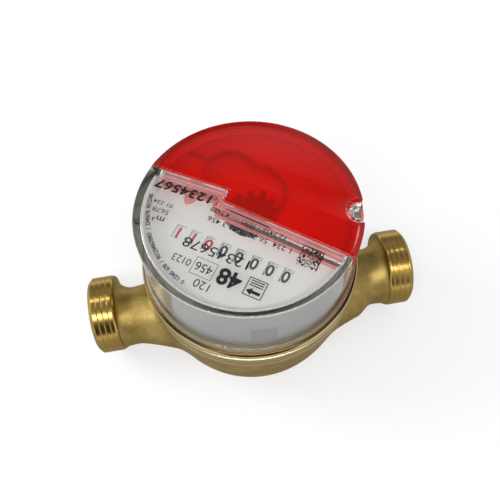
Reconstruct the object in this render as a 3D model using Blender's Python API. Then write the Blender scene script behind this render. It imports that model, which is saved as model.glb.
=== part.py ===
"""Single-jet water meter for warm water: a cast brass body with threaded ends, an impeller
in a tangential chamber, a magnetic coupling, and a turnable clear register with a gear
train, eight number rollers and a clip-on red cover.

Heights are counted from the pipe's axis. The pipe runs along X, the register's axis is Z.
The register is drawn in its own frame (reading direction +X, top of the digits +Y), which
an empty turns about Z.
"""
import bpy
import bmesh
import math
from mathutils import Vector, Matrix

for old in list(bpy.data.objects):
    bpy.data.objects.remove(old, do_unlink=True)

MM = 0.001

# clearances between separate pieces
FIT = 0.3 * MM            # seat between two pieces that touch
RUN = 0.35 * MM           # running gap round a turning piece
BORE_PLAY = 0.3 * MM      # bore of a wheel over its arbor, on the radius

# what the round pieces follow: the hood's size sets the bores, the rim, the cup and the counter
HOOD_R = 32.0 * MM
HOOD_WALL = 2.0 * MM
HOOD_SEAT = 3.1 * MM      # ledge that the hood stands on
CUP_GAP = 1.4 * MM        # between the cup and the hood's wall
CUP_R = HOOD_R - HOOD_WALL - CUP_GAP

# pipe body
AXIS_H = 15.0 * MM        # pipe axis above the flat base
BODY_LEN = 110.0 * MM     # face to face
THREAD_R = 13.22 * MM     # crest radius of the end threads
COLLAR_LEN = 10.6 * MM    # threaded length with its shoulder
COLLAR_CHAMFER = 1.1 * MM
THREAD_PITCH = 1.814 * MM  # 14 turns to the inch
THREAD_DEPTH = 1.16 * MM
THREAD_ROOT = 0.12 * MM    # half the flat at the root
THREAD_START = 1.0 * MM    # from the shoulder to where the groove begins
THREAD_RUNOUT = 1.2 * MM   # the groove fades in over this length
STUB_SEG = 20
NECK_R = 9.9 * MM
NECK_SHIFT = -2.2 * MM     # the neck lies in front of the collar's centre
NECK_RUN = 3.6 * MM       # length of the hollow fillet from the shoulder to the neck
WING_REACH = 24.0 * MM    # where the neck has opened out into the bowl
WING_HALF = 16.6 * MM
WING_SHIFT = -4.6 * MM    # the channels lie towards the front
WING_TALL = 13.2 * MM
PIPE_BORE_R = 8.0 * MM
PORT_HALF_W = 4.6 * MM
PORT_HALF_H = 6.5 * MM
PORT_Y = -16.5 * MM       # the ports meet the chamber off centre, so the jet turns the impeller
BOWL_LOW_Z = -12.2 * MM
BOWL_TOP_Z = 19.9 * MM
RIM_WALL = 2.2 * MM       # from the hood to the outside of the rim
RIM_STEP = 0.7 * MM       # the rim stands out from the bowl
RIM_R = HOOD_R + RIM_WALL
BOWL_R_TOP = RIM_R - RIM_STEP
BOWL_R_MID = RIM_R - 2.6 * MM
BOWL_R_LOW = RIM_R - 6.4 * MM
BASE_R = BOWL_R_LOW - 2.2 * MM
RIM_TOP_Z = 26.0 * MM
RIM_LIP = 1.3 * MM
RIM_GROOVE = 0.5 * MM
RIM_SEG = 44

# chamber and what seals it
SEAL_BORE_R = HOOD_R - HOOD_SEAT
CHAMBER_R = SEAL_BORE_R - 5.4 * MM
CHAMBER_FLOOR_Z = -11.4 * MM
LEDGE_Z = 11.0 * MM
HOOD_LEDGE_Z = 20.7 * MM
PIVOT_R = 0.8 * MM
PIVOT_TOP_Z = 4.0 * MM
PIVOT_BOSS_R = 3.0 * MM
PIVOT_BOSS_H = 2.6 * MM
PLATE_T = 3.0 * MM
DOME_R = 9.0 * MM
DOME_WALL = 1.3 * MM
DOME_TOP_Z = 18.6 * MM
SEAL_RING_R = 0.85 * MM
CLAMP_IN_R = SEAL_BORE_R - 8.4 * MM
CLAMP_SLOT = 4.0 * MM

# impeller
BLADES = 8
BLADE_T = 1.1 * MM
IMPELLER_R = CHAMBER_R - 2.2 * MM
IMPELLER_HALF_H = 7.0 * MM
IMPELLER_HUB_R = 3.4 * MM
DRIVE_MAGNET_R = 6.6 * MM
DRIVE_MAGNET_T = 2.8 * MM

# strainer in the inlet
STRAINER_T = 1.6 * MM
STRAINER_X = 0.5 * BODY_LEN - 8.5 * MM
STRAINER_HOLE = 1.1 * MM

# register
TURN_DEG = 144.4
HOOD_TOP_T = 2.0 * MM
HOOD_TOP_Z = 50.9 * MM
HOOD_EDGE = 0.5 * MM
HOOD_SEG = 44
RECESS_DEEP = 5.2 * MM
RECESS_FLOOR_T = 1.8 * MM
EDGE_MAIN_Y = 0.45 * MM   # the cover's straight edge, long part
EDGE_MAIN_TILT = -0.036
EDGE_STEP_X = 7.9 * MM
EDGE_SIDE_Y = -4.5 * MM   # the same edge beyond the step
EDGE_SIDE_TILT = 0.07
COVER_WALL = 2.0 * MM
COVER_TOP_T = 1.7 * MM
NOTCH_DEG = -154.7
NOTCH_R = 3.9 * MM
NOTCH_AT_R = HOOD_R - 1.0 * MM
TAB_R = 2.9 * MM
CUP_WALL = 1.0 * MM
CUP_FLOOR_T = 1.2 * MM
CUP_RIM_Z = 35.2 * MM
CUP_FOOT_R = CUP_R + 1.0 * MM
DIAL_T = 1.0 * MM

# number rollers
ROLLERS = 8
ROLLER_PITCH = 0.1678 * CUP_R
ROLLER_FIRST_X = 3.479 * ROLLER_PITCH   # the quickest roller, at the right as it is read
ROLLER_Y = 10.9 * MM
ROLLER_R = 6.0 * MM
ROLLER_W = ROLLER_PITCH - 1.5 * MM
SIDE_GEAR_W = 0.85 * MM
ROLLER_HUB_R = 1.7 * MM
SHAFT_R = 0.75 * MM
WINDOW_W = ROLLER_W - 0.2 * MM
WINDOW_H = 4.8 * MM
BRACKET_T = 1.0 * MM
BRACKET_X = ROLLER_FIRST_X + 4.6 * MM

# gear train
MODULE_A = 0.4 * MM
MODULE_B = 0.35 * MM
MODULE_C = 0.5 * MM       # transfer gears between the rollers
PINION_T = 12
WHEEL1_T = 36
WHEEL2_T = 48
CARRY_T = 20
IDLER_T = 30
STAR_T = 9
WORM_WHEEL_T = 25
SIDE_T = 20
TRANSFER_T = 8
BACKLASH = 0.14 * MM
ARBOR_R = 0.5 * MM
HUB_R = 1.3 * MM
WHEEL_W = 0.9 * MM
WORM_R = 1.6 * MM
WORM_TURNS = 3
WHEEL2_AT = (11.5 * MM, -12.5 * MM)
STAR_DEG = -85.0
STAR_R = 7.6 * MM
STAR_ARMS = 12
LOBE_A = (12.5 * MM, -13.2 * MM, 8.2 * MM)
LOBE_B = (1.5 * MM, -13.3 * MM, 5.8 * MM)
GEAR_PLATE_T = 0.8 * MM
GEAR_PLATE_R = CUP_R - 2.0 * MM

# heights that follow from the sizes above
RECESS_Z = HOOD_TOP_Z - RECESS_DEEP
DIAL_Z = RECESS_Z - RECESS_FLOOR_T - FIT
HOOD_FOOT_Z = HOOD_LEDGE_Z + FIT
CUP_FLOOR_Z = HOOD_FOOT_Z + CUP_FLOOR_T
CAP_SKIRT_Z = CUP_RIM_Z + FIT
ROLLER_Z = DIAL_Z - DIAL_T - RUN - ROLLER_R
PLATE_Z = LEDGE_Z + FIT
CLAMP_Z = PLATE_Z + PLATE_T + FIT
GEAR_PLATE_Z = DIAL_Z - DIAL_T - 2.4 * MM - GEAR_PLATE_T
MAGNET_Z = CUP_FLOOR_Z + RUN
MAGNET_T = 2.1 * MM
FLANGE_Z = MAGNET_Z + MAGNET_T + FIT
FLANGE_T = 0.5 * MM
WHEEL1_Z = FLANGE_Z + FLANGE_T + 0.45 * MM
WHEEL2_Z = WHEEL1_Z + WHEEL_W + 0.6 * MM
IDLER_Z = WHEEL2_Z + WHEEL_W + 0.6 * MM
STAR_Z = DIAL_Z - DIAL_T - RUN - 1.0 * MM


def material(name, color, rough=0.5, metal=0.0, clear=0.0):
    mat = bpy.data.materials.new(name)
    mat.use_nodes = True
    shader = mat.node_tree.nodes["Principled BSDF"]
    shader.inputs["Base Color"].default_value = (*color, 1.0)
    shader.inputs["Roughness"].default_value = rough
    shader.inputs["Metallic"].default_value = metal
    shader.inputs["Transmission Weight"].default_value = clear
    mat.diffuse_color = (*color, 1.0)
    return mat


BRASS = ("cast brass", (0.52, 0.36, 0.12), 0.38, 1.0)
STEEL = ("stainless steel", (0.55, 0.55, 0.56), 0.3, 1.0)
FERRITE = ("ferrite", (0.05, 0.05, 0.055), 0.6)
RUBBER = ("seal rubber", (0.02, 0.02, 0.02), 0.7)
CLEAR = ("clear polycarbonate", (0.9, 0.9, 0.9), 0.05, 0.0, 1.0)
RED = ("red polycarbonate", (0.75, 0.02, 0.01), 0.08, 0.0, 0.8)
WHITE = ("white moulding", (0.75, 0.76, 0.77), 0.45)
GREY = ("grey moulding", (0.55, 0.55, 0.57), 0.5)
BLACK = ("black moulding", (0.03, 0.03, 0.03), 0.5)
NATURAL = ("natural acetal", (0.8, 0.79, 0.74), 0.45)


def empty(name, parent=None, loc=(0, 0, 0), turn=0.0):
    obj = bpy.data.objects.new(name, None)
    bpy.context.collection.objects.link(obj)
    obj.parent = parent
    obj.location = loc
    obj.rotation_euler = (0.0, 0.0, turn)
    return obj


def finish(bm, name, parent, look=None, loc=(0, 0, 0), smooth=30.0):
    """Turn a bmesh into a named object; without a look it is a hidden helper."""
    bmesh.ops.remove_doubles(bm, verts=bm.verts, dist=1e-6)
    bmesh.ops.recalc_face_normals(bm, faces=bm.faces)
    mesh = bpy.data.meshes.new(name)
    bm.to_mesh(mesh)
    bm.free()
    obj = bpy.data.objects.new(name, mesh)
    bpy.context.collection.objects.link(obj)
    obj.parent = parent
    obj.location = loc
    if look is None:
        obj.hide_render = True
        obj.display_type = 'WIRE'
    else:
        mat = bpy.data.materials.get(look[0]) or material(*look)
        mesh.materials.append(mat)
        mesh.shade_smooth()
        mesh.set_sharp_from_angle(angle=math.radians(smooth))
    return obj


def combine(obj, other, operation='DIFFERENCE'):
    mod = obj.modifiers.new(other.name, 'BOOLEAN')
    mod.operation = operation
    mod.solver = 'EXACT'
    mod.object = other
    return obj


def turned(profile, seg):
    """Revolve a closed outline of (radius, height) pairs about Z."""
    bm = bmesh.new()
    rings = []
    for r, z in profile:
        if r < 1e-7:
            rings.append([bm.verts.new((0.0, 0.0, z))])
            continue
        ring = []
        for k in range(seg):
            a = 2.0 * math.pi * k / seg
            ring.append(bm.verts.new((r * math.cos(a), r * math.sin(a), z)))
        rings.append(ring)
    for i, a in enumerate(rings):
        b = rings[(i + 1) % len(rings)]
        if len(a) == 1 and len(b) == 1:
            continue
        for k in range(seg):
            n = (k + 1) % seg
            if len(a) == 1:
                bm.faces.new((a[0], b[k], b[n]))
            elif len(b) == 1:
                bm.faces.new((a[k], b[0], a[n]))
            else:
                bm.faces.new((a[k], b[k], b[n], a[n]))
    return bm


def circle(r, seg, cx=0.0, cy=0.0, start=0.0):
    return [(cx + r * math.cos(start + 2.0 * math.pi * k / seg),
             cy + r * math.sin(start + 2.0 * math.pi * k / seg)) for k in range(seg)]


def prism(outline, z0, z1, holes=()):
    """Extrude a flat outline with any number of holes from z0 to z1."""
    bm = bmesh.new()
    edges = []
    for loop in [outline, *holes]:
        verts = [bm.verts.new((x, y, z0)) for x, y in loop]
        for i, v in enumerate(verts):
            edges.append(bm.edges.new((v, verts[(i + 1) % len(verts)])))
    bmesh.ops.triangle_fill(bm, use_beauty=True, use_dissolve=False, edges=edges)
    faces = list(bm.faces)
    up = bmesh.ops.extrude_face_region(bm, geom=faces)
    moved = [g for g in up["geom"] if isinstance(g, bmesh.types.BMVert)]
    bmesh.ops.translate(bm, vec=(0.0, 0.0, z1 - z0), verts=moved)
    return bm


def add(bm, other):
    """Copy another bmesh into this one as its own closed shell."""
    mesh = bpy.data.meshes.new("scratch")
    other.to_mesh(mesh)
    other.free()
    bm.from_mesh(mesh)
    bpy.data.meshes.remove(mesh)
    return bm


def moved(bm, matrix):
    bmesh.ops.transform(bm, matrix=matrix, verts=bm.verts)
    return bm


# gears: straight-flanked teeth whose flanks meet in a V at the root; tooth 0 is centred on
# the angle phase, and each tooth is thinned by half the backlash
ADDENDUM = 0.68
FLANK_DEG = 35.0


def pitch_r(teeth, module):
    return 0.5 * teeth * module


def gear_outline(teeth, module, phase=0.0, plain=False):
    r = pitch_r(teeth, module)
    slope = math.tan(math.radians(FLANK_DEG))
    half = 0.25 * math.pi * module - 0.5 * BACKLASH
    tip = r + ADDENDUM * module
    root = r - (0.5 * math.pi * module - half) / slope
    at_tip = (half - ADDENDUM * module * slope) / tip
    pts = []
    for k in range(teeth):
        a = phase + 2.0 * math.pi * k / teeth
        steps = [(root, -math.pi / teeth), (tip, -at_tip), (tip, at_tip)]
        if plain:
            # a small hidden gear has pointed teeth
            steps = [(root, -math.pi / teeth), (tip, 0.0)]
        for rr, da in steps:
            pts.append((rr * math.cos(a + da), rr * math.sin(a + da)))
    return pts


def mesh_phase(teeth_a, phase_a, teeth_b, line):
    """Phase of gear b so that its gap faces a's tooth; line is the angle from a to b."""
    return line + math.pi - (phase_a - line) * teeth_a / teeth_b + math.pi / teeth_b


def meet(p, rp, q, rq, side):
    """The point at rp from p and rq from q, on the chosen side of the line p-q."""
    dx, dy = q[0] - p[0], q[1] - p[1]
    d = math.hypot(dx, dy)
    along = (rp * rp - rq * rq + d * d) / (2.0 * d)
    off = side * math.sqrt(max(rp * rp - along * along, 0.0))
    return (p[0] + (along * dx - off * dy) / d, p[1] + (along * dy + off * dx) / d)


def angle(p, q):
    return math.atan2(q[1] - p[1], q[0] - p[0])


pipe = empty("pipe_axis", None, (0.0, 0.0, AXIS_H))
register = empty("register_axis", pipe, (0, 0, 0), math.radians(TURN_DEG))


# brass body: a turned bowl, two lofted stubs and turned collars, hollowed by the chamber
def lofted(sections, seg):
    """Skin a row of rounded sections (x, half width, half height, centre y, squareness)."""
    bm = bmesh.new()
    rings = []
    for x, a, b, c, sq in sections:
        ring = []
        for k in range(seg):
            t = 2.0 * math.pi * k / seg
            ct, st = math.cos(t), math.sin(t)
            y = c + a * math.copysign(abs(ct) ** sq, ct)
            z = b * math.copysign(abs(st) ** sq, st)
            ring.append(bm.verts.new((x, y, z)))
        rings.append(ring)
    for a, b in zip(rings, rings[1:]):
        for k in range(seg):
            n = (k + 1) % seg
            bm.faces.new((a[k], a[n], b[n], b[k]))
    bm.faces.new(rings[0])
    bm.faces.new(rings[-1])
    return bm


def stub_sections(side):
    end = 0.5 * BODY_LEN
    shoulder = end - COLLAR_LEN
    rows = [(end, THREAD_R - COLLAR_CHAMFER, THREAD_R - COLLAR_CHAMFER, 0.0, 1.0),
            (end - COLLAR_CHAMFER, THREAD_R, THREAD_R, 0.0, 1.0),
            (shoulder, THREAD_R, THREAD_R, 0.0, 1.0)]
    # hollow fillet from the shoulder down to the neck
    fall = THREAD_R - NECK_R
    for k in range(1, 5):
        t = math.radians(22.5 * k)
        r = NECK_R + fall * (1.0 - math.sin(t))
        rows.append((shoulder - NECK_RUN * (1.0 - math.cos(t)), r, r, NECK_SHIFT * math.sin(t), 1.0))
    neck_x = shoulder - NECK_RUN
    # wing: the neck opens out and drifts to the front until it runs into the bowl
    for k in range(1, 6):
        u = k / 5.0
        s = u * (0.72 + 0.28 * u)
        x = neck_x + (WING_REACH - 6.0 * MM - neck_x) * u
        rows.append((x, NECK_R + (WING_HALF - NECK_R) * s, NECK_R + (WING_TALL - NECK_R) * s,
                     NECK_SHIFT + (WING_SHIFT - NECK_SHIFT) * s, 1.0 - 0.12 * s))
    rows.append((0.0, WING_HALF, WING_TALL, WING_SHIFT, 0.88))
    return [(side * x, a, b, c, sq) for x, a, b, c, sq in rows]


bowl_profile = [
    (0.0, -AXIS_H), (BASE_R, -AXIS_H), (BASE_R + 1.5 * MM, -AXIS_H + 0.7 * MM),
    (BOWL_R_LOW, BOWL_LOW_Z), (0.5 * (BOWL_R_LOW + BOWL_R_MID) + 0.4 * MM, 0.5 * BOWL_LOW_Z),
    (BOWL_R_MID, 0.0), (BOWL_R_MID + 1.2 * MM, 0.5 * BOWL_TOP_Z), (BOWL_R_TOP, BOWL_TOP_Z),
    (BOWL_R_TOP, BOWL_TOP_Z + RIM_GROOVE), (RIM_R, BOWL_TOP_Z + RIM_GROOVE),
    (RIM_R, RIM_TOP_Z - RIM_LIP - RIM_GROOVE), (RIM_R - RIM_GROOVE, RIM_TOP_Z - RIM_LIP - RIM_GROOVE),
    (RIM_R - RIM_GROOVE, RIM_TOP_Z - RIM_LIP), (RIM_R, RIM_TOP_Z - RIM_LIP),
    (RIM_R, RIM_TOP_Z - 0.4 * MM), (RIM_R - 0.4 * MM, RIM_TOP_Z), (0.0, RIM_TOP_Z)]

body = finish(turned(bowl_profile, RIM_SEG), "brass_body", pipe, BRASS)
for side, word in ((-1.0, "inlet"), (1.0, "outlet")):
    stub = finish(lofted(stub_sections(side), STUB_SEG), "form_stub_" + word, pipe)
    combine(body, stub, 'UNION')


def thread_groove(side):
    """Right-hand helical groove that cuts the end thread; it runs in from past the end face."""
    start = 0.5 * BODY_LEN - COLLAR_LEN + THREAD_START
    turns = (0.5 * BODY_LEN + 0.8 * THREAD_PITCH - start) / THREAD_PITCH
    over = THREAD_R + 0.3 * MM
    rings = []
    bm = bmesh.new()
    for k in range(int(turns * STUB_SEG) + 1):
        away = start + THREAD_PITCH * k / STUB_SEG
        deep = min((away - start) / THREAD_RUNOUT, 1.0)
        root = THREAD_R + 0.1 * MM - (THREAD_DEPTH + 0.1 * MM) * deep
        wide = THREAD_ROOT + 0.5 * (over - root)
        a = side * 2.0 * math.pi * k / STUB_SEG
        rings.append([bm.verts.new((side * away + dx, r * math.cos(a), r * math.sin(a)))
                      for r, dx in ((over, wide), (root, THREAD_ROOT), (root, -THREAD_ROOT), (over, -wide))])
    for a, b in zip(rings, rings[1:]):
        for i in range(4):
            n = (i + 1) % 4
            bm.faces.new((a[i], a[n], b[n], b[i]))
    bm.faces.new(rings[0])
    bm.faces.new(rings[-1])
    return bm


for side, word in ((-1.0, "inlet"), (1.0, "outlet")):
    combine(body, finish(thread_groove(side), "cut_thread_" + word, pipe))

BOSS_Z = CHAMBER_FLOOR_Z + PIVOT_BOSS_H
HOOD_BORE_R = HOOD_R + RUN
cavity_profile = [
    (PIVOT_R + BORE_PLAY, BOSS_Z - 1.8 * MM), (PIVOT_R + BORE_PLAY, BOSS_Z), (PIVOT_BOSS_R, BOSS_Z),
    (PIVOT_BOSS_R, CHAMBER_FLOOR_Z), (CHAMBER_R, CHAMBER_FLOOR_Z), (CHAMBER_R, LEDGE_Z),
    (SEAL_BORE_R, LEDGE_Z), (SEAL_BORE_R, HOOD_LEDGE_Z), (HOOD_BORE_R, HOOD_LEDGE_Z),
    (HOOD_BORE_R, RIM_TOP_Z + 2.0 * MM), (0.0, RIM_TOP_Z + 2.0 * MM), (0.0, BOSS_Z - 1.8 * MM)]
combine(body, finish(turned(cavity_profile, RIM_SEG), "cut_chamber", pipe))


def channel(side):
    """Round bore at the pipe end that narrows into an upright tangential port."""
    end = 0.5 * BODY_LEN
    rows = [(end + 1.0 * MM, PIPE_BORE_R, PIPE_BORE_R, 0.0, 1.0),
            (end - 1.6 * COLLAR_LEN, PIPE_BORE_R, PIPE_BORE_R, 0.0, 1.0)]
    start = end - 1.6 * COLLAR_LEN
    stop = CHAMBER_R * 0.62
    for k in range(1, 6):
        u = k / 5.0
        s = u * u * (3.0 - 2.0 * u)
        rows.append((start + (stop - start) * u, PIPE_BORE_R + (PORT_HALF_W - PIPE_BORE_R) * s,
                     PIPE_BORE_R + (PORT_HALF_H - PIPE_BORE_R) * s, PORT_Y * s * 0.93, 1.0 - 0.4 * s))
    return lofted([(side * x, a, b, c, sq) for x, a, b, c, sq in rows], 16)


for side, word in ((-1.0, "inlet"), (1.0, "outlet")):
    combine(body, finish(channel(side), "cut_channel_" + word, pipe))

# strainer: a pierced disc across the inlet bore
STRAINER_R = PIPE_BORE_R - FIT
holes = [circle(STRAINER_HOLE, 6)]
for ring, count in ((0.38, 4), (0.75, 8)):
    for k in range(count):
        a = 2.0 * math.pi * k / count
        holes.append(circle(STRAINER_HOLE, 6, ring * STRAINER_R * math.cos(a),
                            ring * STRAINER_R * math.sin(a), a))
bm = prism(circle(STRAINER_R, 24), -0.5 * STRAINER_T, 0.5 * STRAINER_T, holes)
moved(bm, Matrix.Rotation(math.pi / 2.0, 4, 'Y'))
finish(bm, "inlet_strainer", pipe, NATURAL, (-STRAINER_X, 0.0, 0.0))

# impeller and its pivot
finish(turned([(0.0, BOSS_Z - 1.5 * MM), (PIVOT_R, BOSS_Z - 1.5 * MM), (PIVOT_R, PIVOT_TOP_Z - 0.5 * MM),
               (0.3 * PIVOT_R, PIVOT_TOP_Z), (0.0, PIVOT_TOP_Z)], 12), "pivot_pin", pipe, STEEL)

arms = []
half_hub = math.asin(0.5 * BLADE_T / IMPELLER_HUB_R)
half_tip = math.asin(0.5 * BLADE_T / IMPELLER_R)
for k in range(BLADES):
    a = 2.0 * math.pi * k / BLADES
    for r, da in ((IMPELLER_HUB_R, -half_hub), (IMPELLER_R, -half_tip),
                  (IMPELLER_R, half_tip), (IMPELLER_HUB_R, half_hub)):
        arms.append((r * math.cos(a + da), r * math.sin(a + da)))
    mid = a + math.pi / BLADES
    arms.append((IMPELLER_HUB_R * math.cos(mid), IMPELLER_HUB_R * math.sin(mid)))
impeller = finish(prism(arms, -IMPELLER_HALF_H, IMPELLER_HALF_H), "impeller", pipe, BLACK)
MAGNET_SEAT_Z = PLATE_Z + 2.0 * MM
HUB_TOP_Z = MAGNET_SEAT_Z + DRIVE_MAGNET_T
STEM_R = 0.62 * IMPELLER_HUB_R
stem = finish(turned([(0.0, IMPELLER_HALF_H - 2.0 * MM), (IMPELLER_HUB_R, IMPELLER_HALF_H - 2.0 * MM),
                      (IMPELLER_HUB_R, MAGNET_SEAT_Z - 1.2 * MM - FIT),
                      (DRIVE_MAGNET_R, MAGNET_SEAT_Z - 1.2 * MM - FIT), (DRIVE_MAGNET_R, MAGNET_SEAT_Z - FIT),
                      (STEM_R, MAGNET_SEAT_Z - FIT), (STEM_R, HUB_TOP_Z), (0.0, HUB_TOP_Z)], 16),
              "form_impeller_stem", pipe)
combine(impeller, stem, 'UNION')
socket = turned([(0.0, -IMPELLER_HALF_H - 1.0 * MM), (PIVOT_R + BORE_PLAY, -IMPELLER_HALF_H - 1.0 * MM),
                 (PIVOT_R + BORE_PLAY, PIVOT_TOP_Z), (0.0, PIVOT_TOP_Z + FIT + 0.4 * MM)], 12)
combine(impeller, finish(socket, "cut_pivot_socket", pipe))
finish(turned([(STEM_R + FIT, MAGNET_SEAT_Z), (DRIVE_MAGNET_R, MAGNET_SEAT_Z), (DRIVE_MAGNET_R, HUB_TOP_Z),
               (STEM_R + FIT, HUB_TOP_Z)], 16), "drive_magnet", pipe, FERRITE)

# separating plate with its dome, the seal ring under it and the brass clamp ring over it
PLATE_R = SEAL_BORE_R - FIT
SEAL_AT_R = CHAMBER_R + FIT + SEAL_RING_R + 1.6 * MM
finish(turned([(0.0, DOME_TOP_Z - DOME_WALL), (DOME_R - DOME_WALL, DOME_TOP_Z - DOME_WALL),
               (DOME_R - DOME_WALL, PLATE_Z), (SEAL_AT_R - SEAL_RING_R - FIT, PLATE_Z),
               (SEAL_AT_R - SEAL_RING_R - FIT, PLATE_Z + 2.0 * SEAL_RING_R + FIT),
               (PLATE_R, PLATE_Z + 2.0 * SEAL_RING_R + FIT), (PLATE_R, PLATE_Z + PLATE_T),
               (DOME_R, PLATE_Z + PLATE_T), (DOME_R, DOME_TOP_Z - 1.0 * MM), (DOME_R - 1.0 * MM, DOME_TOP_Z),
               (0.0, DOME_TOP_Z)], 24), "separating_plate", pipe, BLACK)
ring = []
for k in range(6):
    t = 2.0 * math.pi * k / 6
    ring.append((SEAL_AT_R + SEAL_RING_R * math.cos(t), PLATE_Z + SEAL_RING_R + SEAL_RING_R * math.sin(t)))
finish(turned(ring, 24), "seal_ring", pipe, RUBBER, smooth=60.0)
CLAMP_TOP_Z = HOOD_LEDGE_Z - FIT
clamp = finish(turned([(CLAMP_IN_R, CLAMP_Z), (PLATE_R, CLAMP_Z), (PLATE_R, CLAMP_TOP_Z - 0.5 * MM),
                       (PLATE_R - 0.5 * MM, CLAMP_TOP_Z), (CLAMP_IN_R + 0.5 * MM, CLAMP_TOP_Z),
                       (CLAMP_IN_R, CLAMP_TOP_Z - 0.5 * MM)], 28), "clamp_ring", pipe, BRASS)
slots = bmesh.new()
for k in range(2):
    box = bmesh.ops.create_cube(slots, size=1.0)["verts"]
    bmesh.ops.scale(slots, vec=(CLAMP_SLOT, 2.0 * PLATE_R + 4.0 * MM, 3.0 * MM), verts=box)
    bmesh.ops.rotate(slots, cent=(0, 0, 0), matrix=Matrix.Rotation(k * math.pi / 2.0, 3, 'Z'), verts=box)
    bmesh.ops.translate(slots, vec=(0, 0, CLAMP_TOP_Z), verts=box)
    cutter = finish(slots, "cut_spanner_slot_%d" % (k + 1), pipe)
    combine(clamp, cutter)
    slots = bmesh.new()
slots.free()


# register: the clear hood with the step-down recess
def edge_y(x, shift):
    """Height of the cover's edge across the top, moved forward by shift."""
    if x > EDGE_STEP_X + shift:
        return EDGE_SIDE_Y + EDGE_SIDE_TILT * x + shift
    return EDGE_MAIN_Y + EDGE_MAIN_TILT * x + shift


def edge_cross(r, sign, shift):
    """Angle where the edge meets a circle of radius r on the side sign of X."""
    x = sign * r
    for _ in range(30):
        y = edge_y(x, shift)
        x = sign * math.sqrt(max(r * r - y * y, 0.0))
    return math.atan2(edge_y(x, shift), x)


def segment(r, shift, front, seg=HOOD_SEG):
    """Outline of the part of a disc before (front) or behind the stepped edge."""
    right = edge_cross(r, 1.0, shift)
    left = edge_cross(r, -1.0, shift)
    xs = EDGE_STEP_X + shift
    step = [(xs, EDGE_MAIN_Y + EDGE_MAIN_TILT * xs + shift), (xs, EDGE_SIDE_Y + EDGE_SIDE_TILT * xs + shift)]
    left = left if left > 0.0 else left + 2.0 * math.pi
    if front:
        lo, hi = right, left
    else:
        lo, hi = left, right + 2.0 * math.pi
        step.reverse()
    arc = [lo]
    for k in range(-seg, 2 * seg):
        a = 2.0 * math.pi * k / seg
        if lo + 0.4 * math.pi / seg < a < hi - 0.4 * math.pi / seg:
            arc.append(a)
    arc.append(hi)
    return [(r * math.cos(a), r * math.sin(a)) for a in arc] + step


hood = finish(turned([(0.0, HOOD_FOOT_Z), (HOOD_R - 0.4 * MM, HOOD_FOOT_Z), (HOOD_R, HOOD_FOOT_Z + 0.4 * MM),
                      (HOOD_R, HOOD_TOP_Z - HOOD_EDGE), (HOOD_R - HOOD_EDGE, HOOD_TOP_Z),
                      (0.0, HOOD_TOP_Z)], HOOD_SEG), "clear_hood", register, CLEAR)
recess = finish(prism(segment(HOOD_R + 3.0 * MM, 0.0, False), RECESS_Z, HOOD_TOP_Z + 1.0 * MM),
                "cut_cover_recess", register)
notch_c = (NOTCH_AT_R * math.cos(math.radians(NOTCH_DEG)), NOTCH_AT_R * math.sin(math.radians(NOTCH_DEG)))
tab_keep = finish(prism(circle(TAB_R, 16, *notch_c), RECESS_Z - 0.5 * MM, HOOD_TOP_Z - 0.2 * MM),
                  "form_clip_tab", register)
combine(recess, tab_keep)
combine(hood, recess)
INNER_R = HOOD_R - HOOD_WALL
combine(hood, finish(turned([(0.0, HOOD_FOOT_Z - 1.0 * MM), (INNER_R, HOOD_FOOT_Z - 1.0 * MM),
                             (INNER_R, RECESS_Z - RECESS_FLOOR_T), (0.0, RECESS_Z - RECESS_FLOOR_T)],
                            HOOD_SEG), "cut_hood_inside", register))
combine(hood, finish(prism(segment(INNER_R, HOOD_WALL, True), RECESS_Z - RECESS_FLOOR_T - 1.0 * MM,
                           HOOD_TOP_Z - HOOD_TOP_T), "cut_hood_front", register))

# red cover: a shallow clip-on lid with a skirt and a finger notch round the clear tab
cover = finish(prism(segment(HOOD_R, -FIT, False), RECESS_Z + FIT, HOOD_TOP_Z), "red_cover", register, RED)
pocket = finish(prism(segment(HOOD_R - COVER_WALL, -FIT - COVER_WALL, False), RECESS_Z - 1.0 * MM,
                      HOOD_TOP_Z - COVER_TOP_T), "cut_cover_pocket", register)
combine(pocket, finish(prism(circle(NOTCH_R + COVER_WALL, 20, *notch_c), RECESS_Z - 2.0 * MM, HOOD_TOP_Z),
                       "form_notch_wall", register))
combine(cover, pocket)
combine(cover, finish(prism(circle(NOTCH_R, 20, *notch_c), RECESS_Z - 1.0 * MM, HOOD_TOP_Z + 1.0 * MM),
                      "cut_notch", register))

# cup under the dial, closed by the dial cap with its windows
cup_profile = [
    (0.0, HOOD_FOOT_Z), (CUP_FOOT_R, HOOD_FOOT_Z), (CUP_FOOT_R, CUP_FLOOR_Z), (CUP_R, CUP_FLOOR_Z + 0.6 * MM),
    (CUP_R, CUP_RIM_Z), (CUP_R - CUP_WALL, CUP_RIM_Z), (CUP_R - CUP_WALL, CUP_FLOOR_Z), (0.0, CUP_FLOOR_Z)]
finish(turned(cup_profile, HOOD_SEG), "register_cup", register, GREY)

DIAL_R = CUP_R
dial = finish(turned([(0.0, DIAL_Z - DIAL_T), (DIAL_R - CUP_WALL, DIAL_Z - DIAL_T), (DIAL_R - CUP_WALL, CAP_SKIRT_Z),
                      (DIAL_R, CAP_SKIRT_Z), (DIAL_R, DIAL_Z - 0.4 * MM), (DIAL_R - 0.4 * MM, DIAL_Z),
                      (0.0, DIAL_Z)], HOOD_SEG), "dial_cap", register, WHITE)
wins = bmesh.new()
for k in range(ROLLERS):
    box = bmesh.ops.create_cube(wins, size=1.0)["verts"]
    bmesh.ops.scale(wins, vec=(WINDOW_W, WINDOW_H, 4.0 * DIAL_T), verts=box)
    bmesh.ops.translate(wins, vec=(ROLLER_FIRST_X - k * ROLLER_PITCH, ROLLER_Y, DIAL_Z - 0.5 * DIAL_T), verts=box)
combine(dial, finish(wins, "cut_windows", register))

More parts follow.
